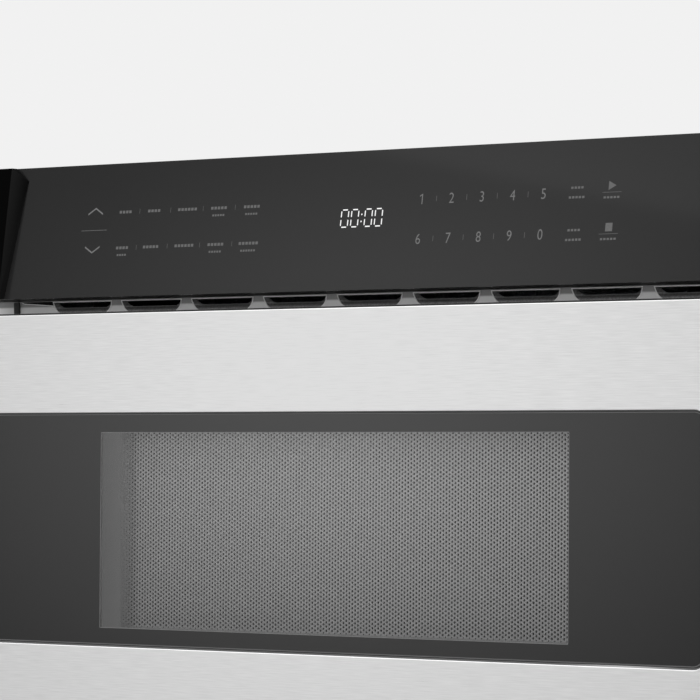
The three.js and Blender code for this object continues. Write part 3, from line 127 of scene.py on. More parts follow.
floor_material = bpy.data.materials.new("studio_floor")
floor_material.use_nodes = True
ground = floor_material.node_tree
matt = ground.nodes["Principled BSDF"]
matt.inputs["Base Color"].default_value = FLOOR_COLOUR
matt.inputs["Roughness"].default_value = 0.7
matt.inputs["Specular IOR Level"].default_value = 0.2
glow = shader_node(ground, "Emission", {"Color": WHITE, "Strength": BACKGROUND})
where = shader_node(ground, "TexCoord", {})
distance = shader_node(ground, "VectorMath", {0: where.outputs["Object"]}, operation="LENGTH")
fade = shader_node(ground, "MapRange", {
    "Value": distance.outputs["Value"],
    "From Min": FLOOR_FADE[0],
    "From Max": FLOOR_FADE[1],
}, interpolation_type="SMOOTHSTEP")
far_and_seen = shader_node(ground, "Math", {0: fade.outputs["Result"], 1: seen_directly(ground)},
                           operation="MULTIPLY")
surface = shader_node(ground, "MixShader", {
    0: far_and_seen.outputs[0],
    1: matt.outputs[0],
    2: glow.outputs[0],
})
ground.links.new(surface.outputs[0], ground.nodes["Material Output"].inputs["Surface"])
floor_mesh = bpy.data.meshes.new("studio_floor")
floor_outline = []
for corner in range(FLOOR_CORNERS):
    turn = corner * math.tau / FLOOR_CORNERS
    floor_outline.append((FLOOR_RADIUS * math.cos(turn), FLOOR_RADIUS * math.sin(turn), -FLOOR_DROP))
floor_mesh.from_pydata(floor_outline, [], [tuple(range(FLOOR_CORNERS))])
floor_mesh.materials.append(floor_material)
floor = in_scene("studio_floor", floor_mesh)


def lamp(name, place, side, power):
    """A broad square lamp turned towards the object."""
    data = bpy.data.lights.new(name, "AREA")
    data.size = side
    data.energy = power
    made = in_scene(name, data)
    made.location = place
    made.rotation_euler = (Vector(LAMP_AIM) - Vector(place)).to_track_quat("-Z", "Y").to_euler()


lamp("high_left_lamp", (-1.9, -2.1, 2.7), 3.2, 46)
lamp("high_rear_lamp", (-2.4, 2.2, 2.8), 2.4, 40)
lamp("low_front_lamp", (1.3, -3.6, 0.7), 1.6, 60)


# ---- Case: base plate, cover and rear panel ----
# Zinc-coated sheet steel. The cover is one sheet folded over the top and both sides, with a flat rear panel.
# Pressed beads stiffen the sheets, and pressed louvres let air through the sides near the rear.
BEAD_WIDTH = 12
BEAD_HEIGHT = 1.6
BEAD_STATIONS = ((0, 0.05), (0.02, 0.6), (0.05, 1), (0.95, 1), (0.98, 0.6), (1, 0.05))
TOP_BEAD_SHARES = (0.22, 0.5, 0.78)
SIDE_BEAD_HEIGHTS = (90, 215, 300)
REAR_UPRIGHT_BEADS = (-235, -205)
REAR_LEVEL_BEADS = (215, 330)
LOUVRE_WIDTH = 44
LOUVRE_COLUMN = 62
LOUVRE_ROW = 12
LOUVRE_ROWS = 12
LOUVRES_FROM = 120
LOUVRE_PROFILE = ((0, 3.4), (1.4, 2.6), (2.6, 0.6), (3.0, -2.6), (2.2, -2.8), (1.8, 0.2), (0.6, 2.0),
                  (-0.2, 2.6))
LOUVRE_STATIONS = ((-1, 0.1), (-0.94, 0.75), (-0.86, 1), (0.86, 1), (0.94, 0.75), (1, 0.1))


def tint(red, green=None, blue=None):
    """A colour given as it is seen on a screen, 0 to 255; one number is a grey."""
    shares = [value / 255 for value in (red, red if green is None else green, red if blue is None else blue)]
    return tuple(s / 12.92 if s <= 0.04045 else ((s + 0.055) / 1.055) ** 2.4 for s in shares) + (1,)


def finish(name, light, dark, gloss, grain, relief=0.0, metal=0.0, cells=False, spread=0.06, painted_light_at=None,
           ripple=0.0, **sockets):
    """A surface that wanders between two tones. Its grain, in marks per metre, moves its gloss and its relief
    in millimetres too. With painted_light_at, a pool of painted light or shade: the light tone lies at a
    place and fades within a reach, from a share of it outwards, and the grain only ripples it."""
    material = bpy.data.materials.new(name)
    material.use_nodes = True
    tree = material.node_tree
    shader = tree.nodes["Principled BSDF"]
    place = shader_node(tree, "TexCoord", {}).outputs["Object"]
    scale = grain if hasattr(grain, "__len__") else (grain,) * 3
    stretched = shader_node(tree, "Mapping", {"Vector": place, "Scale": scale}).outputs["Vector"]
    if cells:
        colours = shader_node(tree, "TexVoronoi", {"Vector": stretched}).outputs["Color"]
        mark = shader_node(tree, "SeparateColor", {"Color": colours}).outputs[0]
    else:
        mark = shader_node(tree, "TexNoise", {"Vector": stretched, "Scale": 1, "Detail": 4}).outputs["Fac"]
    tones = shader_node(tree, "ValToRGB", {"Fac": mark})
    ends = tones.color_ramp.elements
    ends[0].position, ends[1].position = 0.3, 0.7
    ends[0].color, ends[1].color = dark, light
    # Painted light: the light tone in a pool at a place, fading to the dark tone outside its reach.
    if painted_light_at:
        middle, reach, core = painted_light_at
        near = shader_node(tree, "Mapping", {"Vector": place, "Location": middle, "Scale": reach},
                           vector_type="TEXTURE")
        far = shader_node(tree, "VectorMath", {0: near.outputs["Vector"]}, operation="LENGTH")
        broad = shader_node(tree, "MapRange", {
            "Value": far.outputs["Value"],
            "From Min": core,
            "To Min": 1 - ripple / 2,
            "To Max": -ripple / 2,
        }, interpolation_type="SMOOTHSTEP")
        rippled = shader_node(tree, "Math", {0: mark, 1: ripple, 2: broad.outputs["Result"]},
                              operation="MULTIPLY_ADD")
        ends[0].position, ends[1].position = 0, 1
        tree.links.new(rippled.outputs[0], tones.inputs["Fac"])
    sheen = shader_node(tree, "MapRange", {"Value": mark, "To Min": gloss - spread, "To Max": gloss + spread})
    tree.links.new(tones.outputs["Color"], shader.inputs["Base Color"])
    tree.links.new(sheen.outputs["Result"], shader.inputs["Roughness"])
    if relief:
        bumps = shader_node(tree, "Bump", {"Distance": relief / 1000, "Height": mark})
        tree.links.new(bumps.outputs["Normal"], shader.inputs["Normal"])
    shader.inputs["Metallic"].default_value = metal
    for socket, value in sockets.items():
        shader.inputs[socket.replace("_", " ")].default_value = value
    return material


def dress(node, material, edge):
    """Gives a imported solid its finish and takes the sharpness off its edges, by a width in millimetres."""
    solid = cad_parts[node]
    solid.data.materials.clear()
    solid.data.materials.append(material)
    weld = solid.modifiers.new("weld", "WELD")
    weld.merge_threshold = 1e-5
    soften = solid.modifiers.new("soft_edges", "BEVEL")
    soften.width = edge / 1000
    soften.segments = 2
    soften.limit_method = "ANGLE"
    soften.angle_limit = math.radians(40)


def span(node):
    """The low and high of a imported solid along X, Y and Z, in millimetres."""
    low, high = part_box(node)
    return [(low[i] * 1000, high[i] * 1000) for i in range(3)]


# A shape is (points, faces), in millimetres.
def together(*shapes):
    points, faces = [], []
    for shape in shapes:
        start = len(points)
        points += shape[0]
        faces += [tuple(start + corner for corner in face) for face in shape[1]]
    return points, faces


def loft(loops, ends="caps"):
    """A skin over closed loops of equal count. Its ends are capped, left open, or joined into a ring."""
    count, rows = len(loops[0]), len(loops)
    points = [point for loop in loops for point in loop]
    faces = []
    for row in range(rows if ends == "ring" else rows - 1):
        here, there = row * count, (row + 1) % rows * count
        for i in range(count):
            j = (i + 1) % count
            faces.append((here + i, here + j, there + j, there + i))
    if ends == "caps":
        faces.append(tuple(range(count)))
        faces.append(tuple((rows - 1) * count + i for i in range(count)))
    return points, faces


def mesh_of(name, shape):
    """A mesh in metres, its faces turned outwards and its round parts shaded smooth."""
    mesh = bpy.data.meshes.new(name)
    mesh.from_pydata([(x / 1000, y / 1000, z / 1000) for x, y, z in shape[0]], [], shape[1])
    sorting = bmesh.new()
    sorting.from_mesh(mesh)
    bmesh.ops.recalc_face_normals(sorting, faces=sorting.faces)
    sorting.to_mesh(mesh)
    sorting.free()
    mesh.shade_smooth()
    mesh.set_sharp_from_angle(angle=math.radians(32))
    return mesh


def piece(name, shape, material, body, replaces=()):
    """A piece of the object: its mesh, finish, the body it rides on and the solids it stands for."""
    made = in_scene(name, mesh_of(name, shape))
    made.data.materials.append(material)
    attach(made, body)
    if replaces:
        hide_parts(*replaces)


zinc = finish("zinc_coated_sheet", tint(196, 198, 200), tint(172, 175, 178), 0.42, 90, 0.02, 0.85, cells=True)

for node in ("base_plate", "outer_cover", "rear_panel"):
    dress(node, zinc, 0.4)
cover_x, cover_y, cover_z = span("outer_cover")
_, rear_y, _ = span("rear_panel")


def bead(start, end, out):
    """A pressed stiffening bead between two points, standing out of a sheet and dying away at its ends."""
    start, end, out = Vector(start), Vector(end), Vector(out)
    along = (end - start).normalized()
    side = along.cross(out)
    length = (end - start).length
    loops = []
    for share, size in BEAD_STATIONS:
        middle = start + along * length * share
        foot = side * BEAD_WIDTH / 2 * size
        loop = []
        for step in range(9):
            angle = math.pi * step / 8
            loop.append(tuple(middle + side * (BEAD_WIDTH / 2 * size * math.cos(angle))
                              + out * (BEAD_HEIGHT * size * math.sin(angle))))
        loop += [tuple(middle - foot - out * 0.3), tuple(middle + foot - out * 0.3)]
        loops.append(loop)
    return loft(loops)


beads = []
for share in TOP_BEAD_SHARES:
    x = cover_x[0] + (cover_x[1] - cover_x[0]) * share
    beads.append(bead((x, cover_y[0] + 60, cover_z[1]), (x, cover_y[1] - 60, cover_z[1]), (0, 0, 1)))
for x, out in zip(cover_x, (-1, 1)):
    for z in SIDE_BEAD_HEIGHTS:
        beads.append(bead((x, cover_y[0] + 50, z), (x, cover_y[1] - 170, z), (out, 0, 0)))
for x in REAR_UPRIGHT_BEADS:
    beads.append(bead((x, rear_y[1], 60), (x, rear_y[1], 290), (0, 1, 0)))
for z in REAR_LEVEL_BEADS:
    beads.append(bead((-60, rear_y[1], z), (225, rear_y[1], z), (0, 1, 0)))
piece("case_stiffening_beads", together(*beads), zinc, "cabinet")


def louvre(centre, out):
    """One pressed louvre: a hood that opens downwards."""
    centre, out = Vector(centre), Vector(out)
    side = Vector((0, 0, 1)).cross(out)
    loops = []
    for share, size in LOUVRE_STATIONS:
        middle = centre + side * share * LOUVRE_WIDTH / 2
        loops.append([tuple(middle + out * depth * size + Vector((0, 0, rise)))
                      for depth, rise in LOUVRE_PROFILE])
    return loft(loops)


louvres = []
for x, out in zip(cover_x, (-1, 1)):
    for column in range(2):
        for row in range(LOUVRE_ROWS):
            y = cover_y[1] - LOUVRES_FROM + LOUVRE_COLUMN * column
            louvres.append(louvre((x, y, LOUVRES_FROM + LOUVRE_ROW * row), (out, 0, 0)))
piece("cover_side_louvres", together(*louvres), zinc, "cabinet")


# ---- Case screws ----
# Cross-recessed pan heads of bright zinc-coated steel. They hold the cover to the base plate and the rear
# panel, and the fan's housing to the rear panel.
SCREW_HEAD_RADIUS = 4.2
SCREW_HEAD_HEIGHT = 2.2
SCREW_SHANK = 6
CROSS_SLOT = (-0.45, 0.45)
REAR_EDGE_SCREWS = ((0, 360), (-120, 360), (120, 360), (-262, 190), (262, 190), (0, 12))
SIDE_SCREWS_Y = (-220, -60, 100, 250)
SIDE_SCREWS_Z = 10
FAN_SCREW_INSET = 7
bright_zinc = finish("bright_zinc", tint(208, 209, 210), tint(188, 189, 190), 0.3, (300, 40, 300), 0.01, 0.9)


def moved(shape, x=0, y=0, z=0, turn=None):
    matrix = Matrix.Translation((x, y, z)) @ (turn or Matrix.Identity(4))
    return [tuple(matrix @ Vector(point)) for point in shape[0]], shape[1]


def rounded(u, v, radius, steps=6):
    """A rectangle with round corners, anticlockwise, its sides given as (low, high)."""
    radius = max(radius, 0.01)
    centres = [(u[1] - radius, v[0] + radius), (u[1] - radius, v[1] - radius),
               (u[0] + radius, v[1] - radius), (u[0] + radius, v[0] + radius)]
    outline = []
    for corner, (cu, cv) in enumerate(centres):
        for step in range(steps + 1):
            angle = (corner - 1 + step / steps) * math.pi / 2
            outline.append((cu + radius * math.cos(angle), cv + radius * math.sin(angle)))
    return outline


def lay(axis, level, outline):
    """An outline at a level along an axis. It is drawn in the two other axes, in their order."""
    index = "xyz".index(axis)
    return [tuple(list(point[:index]) + [level] + list(point[index:])) for point in outline]


def round_loop(axis, level, u, v, grow, corner, steps=6):
    """A rectangle with round corners at a level along an axis, its sides moved outwards."""
    return lay(axis, level, rounded((u[0] - grow, u[1] + grow), (v[0] - grow, v[1] + grow), corner, steps))


def slab(axis, u, v, level, corner, edge, steps=6):
    """A plate with round corners and rounded edges, its thickness along the axis."""
    turns = (0, 0.5, 1)
    made = []
    for number, share in enumerate((*turns, *reversed(turns))):
        inset = edge * (1 - math.sin(share * math.pi / 2))
        rise = edge * (1 - math.cos(share * math.pi / 2))
        height = level[0] + rise if number < len(turns) else level[1] - rise
        made.append(round_loop(axis, height, u, v, -inset, corner - inset, steps))
    return loft(made)


def turned(profile, centre, sides, ends="caps"):
    """A body of revolution round an axis along Y. The profile is (radius, level) pairs."""
    loops = []
    for radius, level in profile:
        circle = []
        for step in range(sides):
            angle = step * math.tau / sides
            circle.append((centre[0] + radius * math.cos(angle), centre[1] + radius * math.sin(angle)))
        loops.append(lay("y", level, circle))
    return loft(loops, ends)


def shape_of(thing, scale):
    """The shape that an object has with its modifiers. The object itself is taken away."""
    result = thing.evaluated_get(bpy.context.evaluated_depsgraph_get()).to_mesh()
    points = [tuple(vertex.co * scale) for vertex in result.vertices]
    faces = [tuple(face.vertices) for face in result.polygons]
    bpy.data.objects.remove(thing)
    return points, faces


def hollowed(shape, cutter):
    """A shape less the cutter."""
    body = in_scene("blank", mesh_of("blank", shape))
    tool = in_scene("tool", mesh_of("tool", cutter))
    cutting = body.modifiers.new("cut", "BOOLEAN")
    cutting.object = tool
    cutting.solver = "EXACT"
    result = shape_of(body, 1000)
    bpy.data.objects.remove(tool)
    return result


def screw_head():
    """A cross-recessed pan head that points along +Y, with a short shank behind it."""
    radius, height = SCREW_HEAD_RADIUS, SCREW_HEAD_HEIGHT
    head = turned([
        (radius * 0.45, -SCREW_SHANK), (radius * 0.45, 0.05), (radius, 0), (radius, height * 0.45),
        (radius * 0.93, height * 0.75), (radius * 0.7, height * 0.95), (0.05, height),
    ], (0, 0), 24)
    blade = (-radius * 0.62, radius * 0.62)
    for u, v in ((blade, CROSS_SLOT), (CROSS_SLOT, blade)):
        head = hollowed(head, slab("y", u, v, (height * 0.35, height + 1), 0.3, 0.1, 2))
    return head


pan_head = screw_head()
facing = {
    "y": Matrix.Identity(4),
    "x": Matrix.Rotation(-math.pi / 2, 4, "Z"),
    "-x": Matrix.Rotation(math.pi / 2, 4, "Z"),
}


def screws(places, way):
    return together(*[moved(pan_head, *place, turn=facing[way]) for place in places])


rear_nodes = ["rear_screw_%d" % number for number in range(1, 5)]
rear_places = []
for node in rear_nodes:
    screw_x, _, screw_z = span(node)
    rear_places.append((sum(screw_x) / 2, rear_y[1] + 0.3, sum(screw_z) / 2))
piece("rear_panel_screws", screws(rear_places, "y"), bright_zinc, "cabinet", rear_nodes)
edge_places = [(x, rear_y[1], z) for x, z in REAR_EDGE_SCREWS]
piece("rear_edge_screws", screws(edge_places, "y"), bright_zinc, "cabinet")
side_screws = []
for x, way in zip(cover_x, ("-x", "x")):
    side_screws.append(screws([(x, y, SIDE_SCREWS_Z) for y in SIDE_SCREWS_Y], way))
piece("cover_side_screws", together(*side_screws), bright_zinc, "cabinet")
fan_x, _, fan_z = span("fan_housing")
fan_places = [(x, rear_y[1], z) for x in (fan_x[0] + FAN_SCREW_INSET, fan_x[1] - FAN_SCREW_INSET)
              for z in (fan_z[0] + FAN_SCREW_INSET, fan_z[1] - FAN_SCREW_INSET)]
piece("fan_fixing_screws", screws(fan_places, "y"), bright_zinc, "cabinet")


# ---- Cord inlet ----
# A black plastic gland, moulded with a flange and a ribbed grip. It goes through the rear panel from outside,
# and a six-sided nut holds it on the inside.
GLAND_RIBS = 18
GLAND_GRIP_RADIUS = 8.4
black_plastic = finish("black_plastic", tint(20), tint(14), 0.5, 1400, 0.02, Specular_IOR_Level=0.3)
gland_x, (inner_end, outer_end), gland_z = span("cord_gland")
gland_middle = (sum(gland_x) / 2, sum(gland_z) / 2)
wall = rear_y[1]
gland = turned([
    (4.0, inner_end), (7.0, inner_end), (7.0, wall + 0.3), (11.6, wall + 0.3), (12.0, wall + 0.8),
    (12.0, wall + 2.8), (11.4, wall + 3.3), (9.0, wall + 3.3), (GLAND_GRIP_RADIUS, wall + 4.6),
    (GLAND_GRIP_RADIUS, outer_end - 1.2), (7.6, outer_end), (5.0, outer_end), (4.4, outer_end - 1.0),
    (4.0, outer_end - 3),
], gland_middle, 36, "ring")
rib = slab("y", (-0.5, 0.5), (-0.5, 0.5), (wall + 4.0, outer_end - 1.4), 0.3, 0.2, 2)
ribs = []
for step in range(GLAND_RIBS):
    angle = step * math.tau / GLAND_RIBS
    ribs.append(moved(rib, gland_middle[0] + GLAND_GRIP_RADIUS * math.cos(angle), 0,
                      gland_middle[1] + GLAND_GRIP_RADIUS * math.sin(angle)))
nut = turned([(7.2, inner_end + 4), (11.6, inner_end + 4), (11.6, inner_end + 7.6), (7.2, inner_end + 7.6)],
             gland_middle, 6, "ring")
gland = together(gland, nut, *ribs)
piece("cord_inlet_gland", gland, black_plastic, "cabinet", ["cord_gland"])


# ---- Front flange, vent strip and exhaust duct ----
# The flange is 2 mm steel that lies on the kitchen cabinet's front edges. Above the drawer, a grey painted
# strip has nine formed slots: each has a rounded rim and a lip that slopes inwards, to a black duct behind.
# The strip's top band, the lips and black wedges near its ends carry painted shade; the rims carry a painted
# highlight.
SLOT_COUNT = 9
SLOT_PITCH = 57
SLOT_HALF = 24.35
SLOT_HEIGHT = 6.8
SLOT_SWEEP = 4.8
STRIP_BEND = 4.0
STRIP_LEAN = 0.175
SLOT_STEPS = 8
RIM_STATIONS = ((0.35, -0.05), (0.25, -0.5), (-0.1, -0.5), (-0.25, 0.1))
LIP_STATIONS = ((0, 0, 0), (0.5, 0.3, 0.9), (1.3, 1.3, 2.2), (2.0, 2.5, 3.3))
LIP_SHEET = 0.5
# Painted shade on the slot lips by height, as shares of the lip paint, with two painted light lines near the
# lips' foot, at 314.1 and 316.9 mm.
LIP_SHADE_TONES = ((313.5, 0.6), (314.1, 1), (314.6, 0.66), (315.2, 0.36), (315.8, 0.28), (316.3, 0.42),
             (316.9, 0.85), (317.5, 0.36), (320.5, 0.36))
END_MARK_X = (280.6, 285.4)
# Painted shadow at the strip's ends: black slabs behind them, and black wedges in front with a lit edge under
# each.
NOTCH_SHADE_X = (298, 302.9)
END_SHADOW_WEDGE = ((278.8, 320.7), (276.5, 319.9), (265, 319.2), (252.3, 318.3), (252.3, 320.7))
LIT_EDGE_UNDER_WEDGE = ((278.8, 320.2), (276.5, 319.5), (265, 318.8), (252.3, 317.9), (252.3, 318.3), (265, 319.2),
              (276.5, 319.9), (278.8, 320.6))


def paint_shade_by_height(material, shares):
    """Paints light and shade by height: scales a material's colour by height, with pairs of a height in
    millimetres and a share, going up.
    """
    tree = material.node_tree
    low, high = shares[0][0], shares[-1][0]
    place = shader_node(tree, "SeparateXYZ", {0: tree.nodes["Texture Coordinate"].outputs["Object"]})
    height = shader_node(tree, "MapRange", {
        "Value": place.outputs["Z"],
        "From Min": low / 1000,
        "From Max": high / 1000,
    })
    ramp = shader_node(tree, "ValToRGB", {"Fac": height.outputs["Result"]})
    steps = ramp.color_ramp.elements
    while len(steps) < len(shares):
        steps.new(0.5)
    for step, (level, share) in zip(steps, shares):
        step.position = (level - low) / (high - low)
        step.color = (share, share, share, 1)
    tone = tree.nodes["Color Ramp"].outputs["Color"]
    scaled = shader_node(tree, "VectorMath", {0: tone, 1: ramp.outputs["Color"]}, operation="MULTIPLY")
    tree.links.new(scaled.outputs[0], tree.nodes["Principled BSDF"].inputs["Base Color"])


# The strip's paint has painted shade: the light tone below about 317 mm, and the dark tone on the top band
# above it, where the control panel shades it.
grey_paint = finish("grey_powder_paint_shaded_top", tint(196), tint(122), 0.5, 900, 0.03,
                    painted_light_at=((0, -0.25, 0.3), (20, 20, 0.0182), 0.93))
frame_paint = finish("grey_frame_paint", tint(150), tint(142), 0.5, 900, 0.03)
# The lips have a darker copy of the strip's paint: painted shade.
shaded_lip_paint = finish("grey_paint_in_shade", tint(140), tint(99), 0.5, 900, 0.03, Specular_IOR_Level=0.2)
paint_shade_by_height(shaded_lip_paint, LIP_SHADE_TONES)
# The slot rims and the wedges' edges have a lighter copy of the paint: a painted highlight.
lit_rim_paint = finish("grey_paint_painted_highlight_on_edges", tint(214), tint(206), 0.5, 900, 0.03)
black_steel = finish("black_heat_paint", tint(12), tint(8), 0.7, 700, 0.03, Specular_IOR_Level=0.1)
dress("front_frame", frame_paint, 0.3)
dress("exhaust_duct", black_steel, 0.2)
strip_x, strip_y, strip_z = span("vent_strip")
slot_top = strip_z[1] - 0.6
slot_bottom = slot_top - SLOT_HEIGHT
bend_z = strip_z[1] - STRIP_BEND


def slot_outline(centre, side=0.0, rise=0.0, top=0.0):
    """A slot with a straight top and two wide round lower corners, its sides, foot and top moved inwards."""
    outline = []
    for way in (-1, 1):
        end = way * (SLOT_HALF - side)
        curve = []
        for step in range(SLOT_STEPS + 1):
            t = step / SLOT_STEPS
            reach = (1 - t) ** 2 * end + 2 * t * (1 - t) * (end - way) + t ** 2 * (end - way * SLOT_SWEEP)
            height = ((1 - t) ** 2 * (slot_top - top) + 2 * t * (1 - t) * (slot_bottom + rise + 1.6)
                      + t ** 2 * (slot_bottom + rise))
            curve.append((centre + reach, height))
        outline += curve[::-way]
    return outline


def cut_sheet(outlines, level):
    """A flat sheet square to Y: the first outline is its edge, and the others are openings."""
    flat = [[Vector((u, v, 0)) for u, v in outline] for outline in outlines]
    corners = [point for outline in outlines for point in outline]
    count = len(corners)
    points = lay("y", level[0], corners) + lay("y", level[1], corners)
    faces = []
    for a, b, c in tessellate_polygon(flat):
        faces.append((a, b, c))
        faces.append((count + a, count + c, count + b))
    start = 0
    for outline in outlines:
        for i in range(len(outline)):
            a, b = start + i, start + (i + 1) % len(outline)
            faces.append((a, b, count + b, count + a))
        start += len(outline)
    return points, faces


slot_places = [(i - (SLOT_COUNT - 1) / 2) * SLOT_PITCH for i in range(SLOT_COUNT)]
strip_edge = [(strip_x[0], strip_z[0]), (strip_x[1], strip_z[0]),
              (strip_x[1], strip_z[1]), (strip_x[0], strip_z[1])]
strip_shape = cut_sheet([strip_edge, *[slot_outline(x) for x in slot_places]], strip_y)


def leaned(shape):
    """The strip's top edge is bent towards the front, under the control panel."""
    return [(x, y - max(0, z - bend_z) * STRIP_LEAN, z) for x, y, z in shape[0]], shape[1]


def loose_mesh(points, faces):
    """A shape as a mesh that can be cut and searched."""
    made = bmesh.new()
    corners = [made.verts.new(point) for point in points]
    for face in faces:
        made.faces.new([corners[i] for i in face])
    made.verts.index_update()
    return made


def split_at(shape, height):
    """The same shape with an edge all round at a height, so that it can be bent there."""
    bent = loose_mesh(*shape)
    bmesh.ops.bisect_plane(bent, geom=bent.verts[:] + bent.edges[:] + bent.faces[:],
                           plane_co=(0, 0, height), plane_no=(0, 0, 1), dist=1e-5)
    bent.verts.index_update()
    result = [tuple(v.co) for v in bent.verts], [tuple(v.index for v in face.verts) for face in bent.faces]
    bent.free()
    return result


slot_rims, slot_lips = [], []
for x in slot_places:
    rim = [lay("y", strip_y[0] + depth, slot_outline(x, -grow, -grow, -grow)) for grow, depth in RIM_STATIONS]
    slot_rims.append(loft(rim, "ring"))
    lip = [lay("y", strip_y[0] + depth, slot_outline(x, side, rise)) for side, depth, rise in LIP_STATIONS]
    back = [lay("y", strip_y[0] + depth + LIP_SHEET, slot_outline(x, side - 0.3, rise - 0.3, -0.3))
            for side, depth, rise in reversed(LIP_STATIONS)]
    slot_lips.append(loft(lip + back, "ring"))
piece("vent_strip_sheet", leaned(split_at(strip_shape, bend_z)), grey_paint, "cabinet",
      ["vent_strip"])
piece("vent_slot_rims", leaned(together(*slot_rims)), lit_rim_paint, "cabinet")
piece("vent_slot_lips", leaned(together(*slot_lips)), shaded_lip_paint, "cabinet")

# The black slabs and wedges are painted shadow; each wedge's lit edge has the lighter rim paint.
end_marks, dark_shadow_sheets, lit_wedge_edges = [], [], []
for side in (-1, 1):
    end_marks.append(slab("y", sorted(side * x for x in END_MARK_X), (strip_z[0] + 12, strip_z[1] - 0.2),
                          (strip_y[0] - 1.2, strip_y[0] - 0.2), 0.8, 0.3))
    dark_shadow_sheets.append(slab("y", sorted(side * x for x in NOTCH_SHADE_X), (strip_z[0] + 16, strip_z[1] + 0.28),
                        (strip_y[1] + 0.2, strip_y[1] + 1.8), 0.3, 0.1))
    for made, outline in ((dark_shadow_sheets, END_SHADOW_WEDGE), (lit_wedge_edges, LIT_EDGE_UNDER_WEDGE)):
        flat = [(side * u, v) for u, v in outline]
        made.append(loft([lay("y", strip_y[0] + level, flat) for level in (-0.4, -0.1)]))
piece("vent_strip_end_marks", leaned(together(*end_marks)), black_plastic, "cabinet")
piece("vent_strip_painted_shadow_wedges", leaned(together(*dark_shadow_sheets)), black_steel, "cabinet")
piece("vent_strip_wedge_lit_edges", leaned(together(*lit_wedge_edges)), lit_rim_paint, "cabinet")


# ---- Oven cavity and microwave parts ----
# An enamelled box with a stirrer and its wave guide below it. The magnetron, transformer and capacitor stand
# in the bay behind it. All of it is closed in by the cover.
WINDING_TURNS = 26
WINDING_PITCH = 1.7
WINDING_INSET = 24.2
WIRE_RADIUS = 0.8
enamel = finish("cavity_enamel", tint(164, 165, 164), tint(148, 149, 148), 0.32, 1800, 0.01)
aluminium = finish("bare_aluminium", tint(206, 207, 209), tint(186, 188, 190), 0.35, (60, 900, 900), 0.01,
                   0.9)
core_steel = finish("core_steel", tint(86, 88, 92), tint(60, 62, 66), 0.55, (40, 40, 1600), 0.03, 0.6)
copper = finish("copper_wire", tint(190, 112, 70), tint(150, 82, 48), 0.35, 900, 0.03, 0.9)
dress("oven_cavity", enamel, 0.4)
dress("waveguide", zinc, 0.3)
dress("magnetron", aluminium, 0.3)
dress("high_voltage_transformer", core_steel, 0.5)
dress("high_voltage_capacitor", aluminium, 0.5)
dress("stirrer_motor", bright_zinc, 0.5)
dress("stirrer", aluminium, 0.2)
core_x, core_y, core_z = span("high_voltage_transformer")
windings = []
for turn in range(WINDING_TURNS):
    level = core_z[0] + 21 + turn * WINDING_PITCH
    ring = []
    for out, rise in ((0.0, WIRE_RADIUS), (WIRE_RADIUS, 0.0), (0.0, -WIRE_RADIUS), (-WIRE_RADIUS, 0.0)):
        ring.append(lay("z", level + rise, rounded(
            (core_x[0] + WINDING_INSET - out, core_x[1] - WINDING_INSET + out),
            (core_y[0] + 0.9 - out, core_y[1] - 0.9 + out), 15, 5)))
    windings.append(loft(ring, "ring"))
piece("transformer_windings", together(*windings), copper, "cabinet")


# ---- Cooling fan ----
# A moulded square housing behind the slots of the rear panel, five blades on a hub, and a shaded-pole motor
# on a bar across the housing.
BLADE_COUNT = 5
BLADE_FROM = 12.5
BLADE_LENGTH = 39
BLADE_STATIONS = 8
BLADE_SECTION = ((-0.5, 0.15), (-0.25, 0.55), (0.0, 0.75), (0.25, 0.6), (0.5, 0.15), (0.25, -0.5),
                 (0.0, -0.7), (-0.25, -0.5))
HUB_PROFILE = ((0.1, -9), (12.6, -9), (14, -7.4), (14, 7), (12, 9), (4, 9), (3.4, 7.4), (0.1, 7.4))
pale_plastic = finish("pale_plastic", tint(222, 220, 212), tint(212, 210, 202), 0.45, 900, 0.02)
dress("fan_housing", black_plastic, 0.8)
dress("fan_motor", core_steel, 0.5)
blades_x, blades_y, _ = span("fan_blades")
fan_centre = (sum(blades_x) / 2, sum(fan_z) / 2)
hub_middle = sum(blades_y) / 2
hub = turned([(radius, hub_middle + level) for radius, level in HUB_PROFILE], (0, 0), 36)
blades = []
for number in range(BLADE_COUNT):
    loops = []
    for station in range(BLADE_STATIONS + 1):
        share = station / BLADE_STATIONS
        reach = BLADE_FROM + share * BLADE_LENGTH
        pitch = math.radians(38 - 10 * share)
        width = 21 + 4 * math.sin(share * math.pi)
        loop = []
        for along, thick in BLADE_SECTION:
            u = along * width + 2.4 * share * share
            v = thick + 1.6 * math.cos(along * math.pi)
            loop.append((reach, u * math.sin(pitch) + v * math.cos(pitch),
                         u * math.cos(pitch) - v * math.sin(pitch)))
        loops.append(loop)
    blades.append(moved(loft(loops), turn=Matrix.Rotation(-number * math.tau / BLADE_COUNT, 4, "Y")))
fan_wheel = together(hub, moved(together(*blades), 0, hub_middle, 0))
fan_wheel = moved(fan_wheel, fan_centre[0], 0, fan_centre[1])
piece("fan_wheel", fan_wheel, pale_plastic, "cooling_fan", ["fan_blades"])


# ---- Electrics ----
# Green circuit boards with relays and a heat sink on the cavity's roof, a mains filter, the lamp, and two
# interlock switches that the drawer's hooks press.
circuit = finish("circuit_board", tint(52, 98, 64), tint(34, 74, 48), 0.5, 700, 0.03, cells=True)
for node in ("power_board", "line_filter", "control_board"):
    dress(node, circuit, 0.2)
dress("cavity_lamp", pale_plastic, 0.6)
dress("display_module", black_plastic, 0.3)
for side in ("left", "right"):
    dress(side + "_interlock_switch", black_plastic, 0.5)


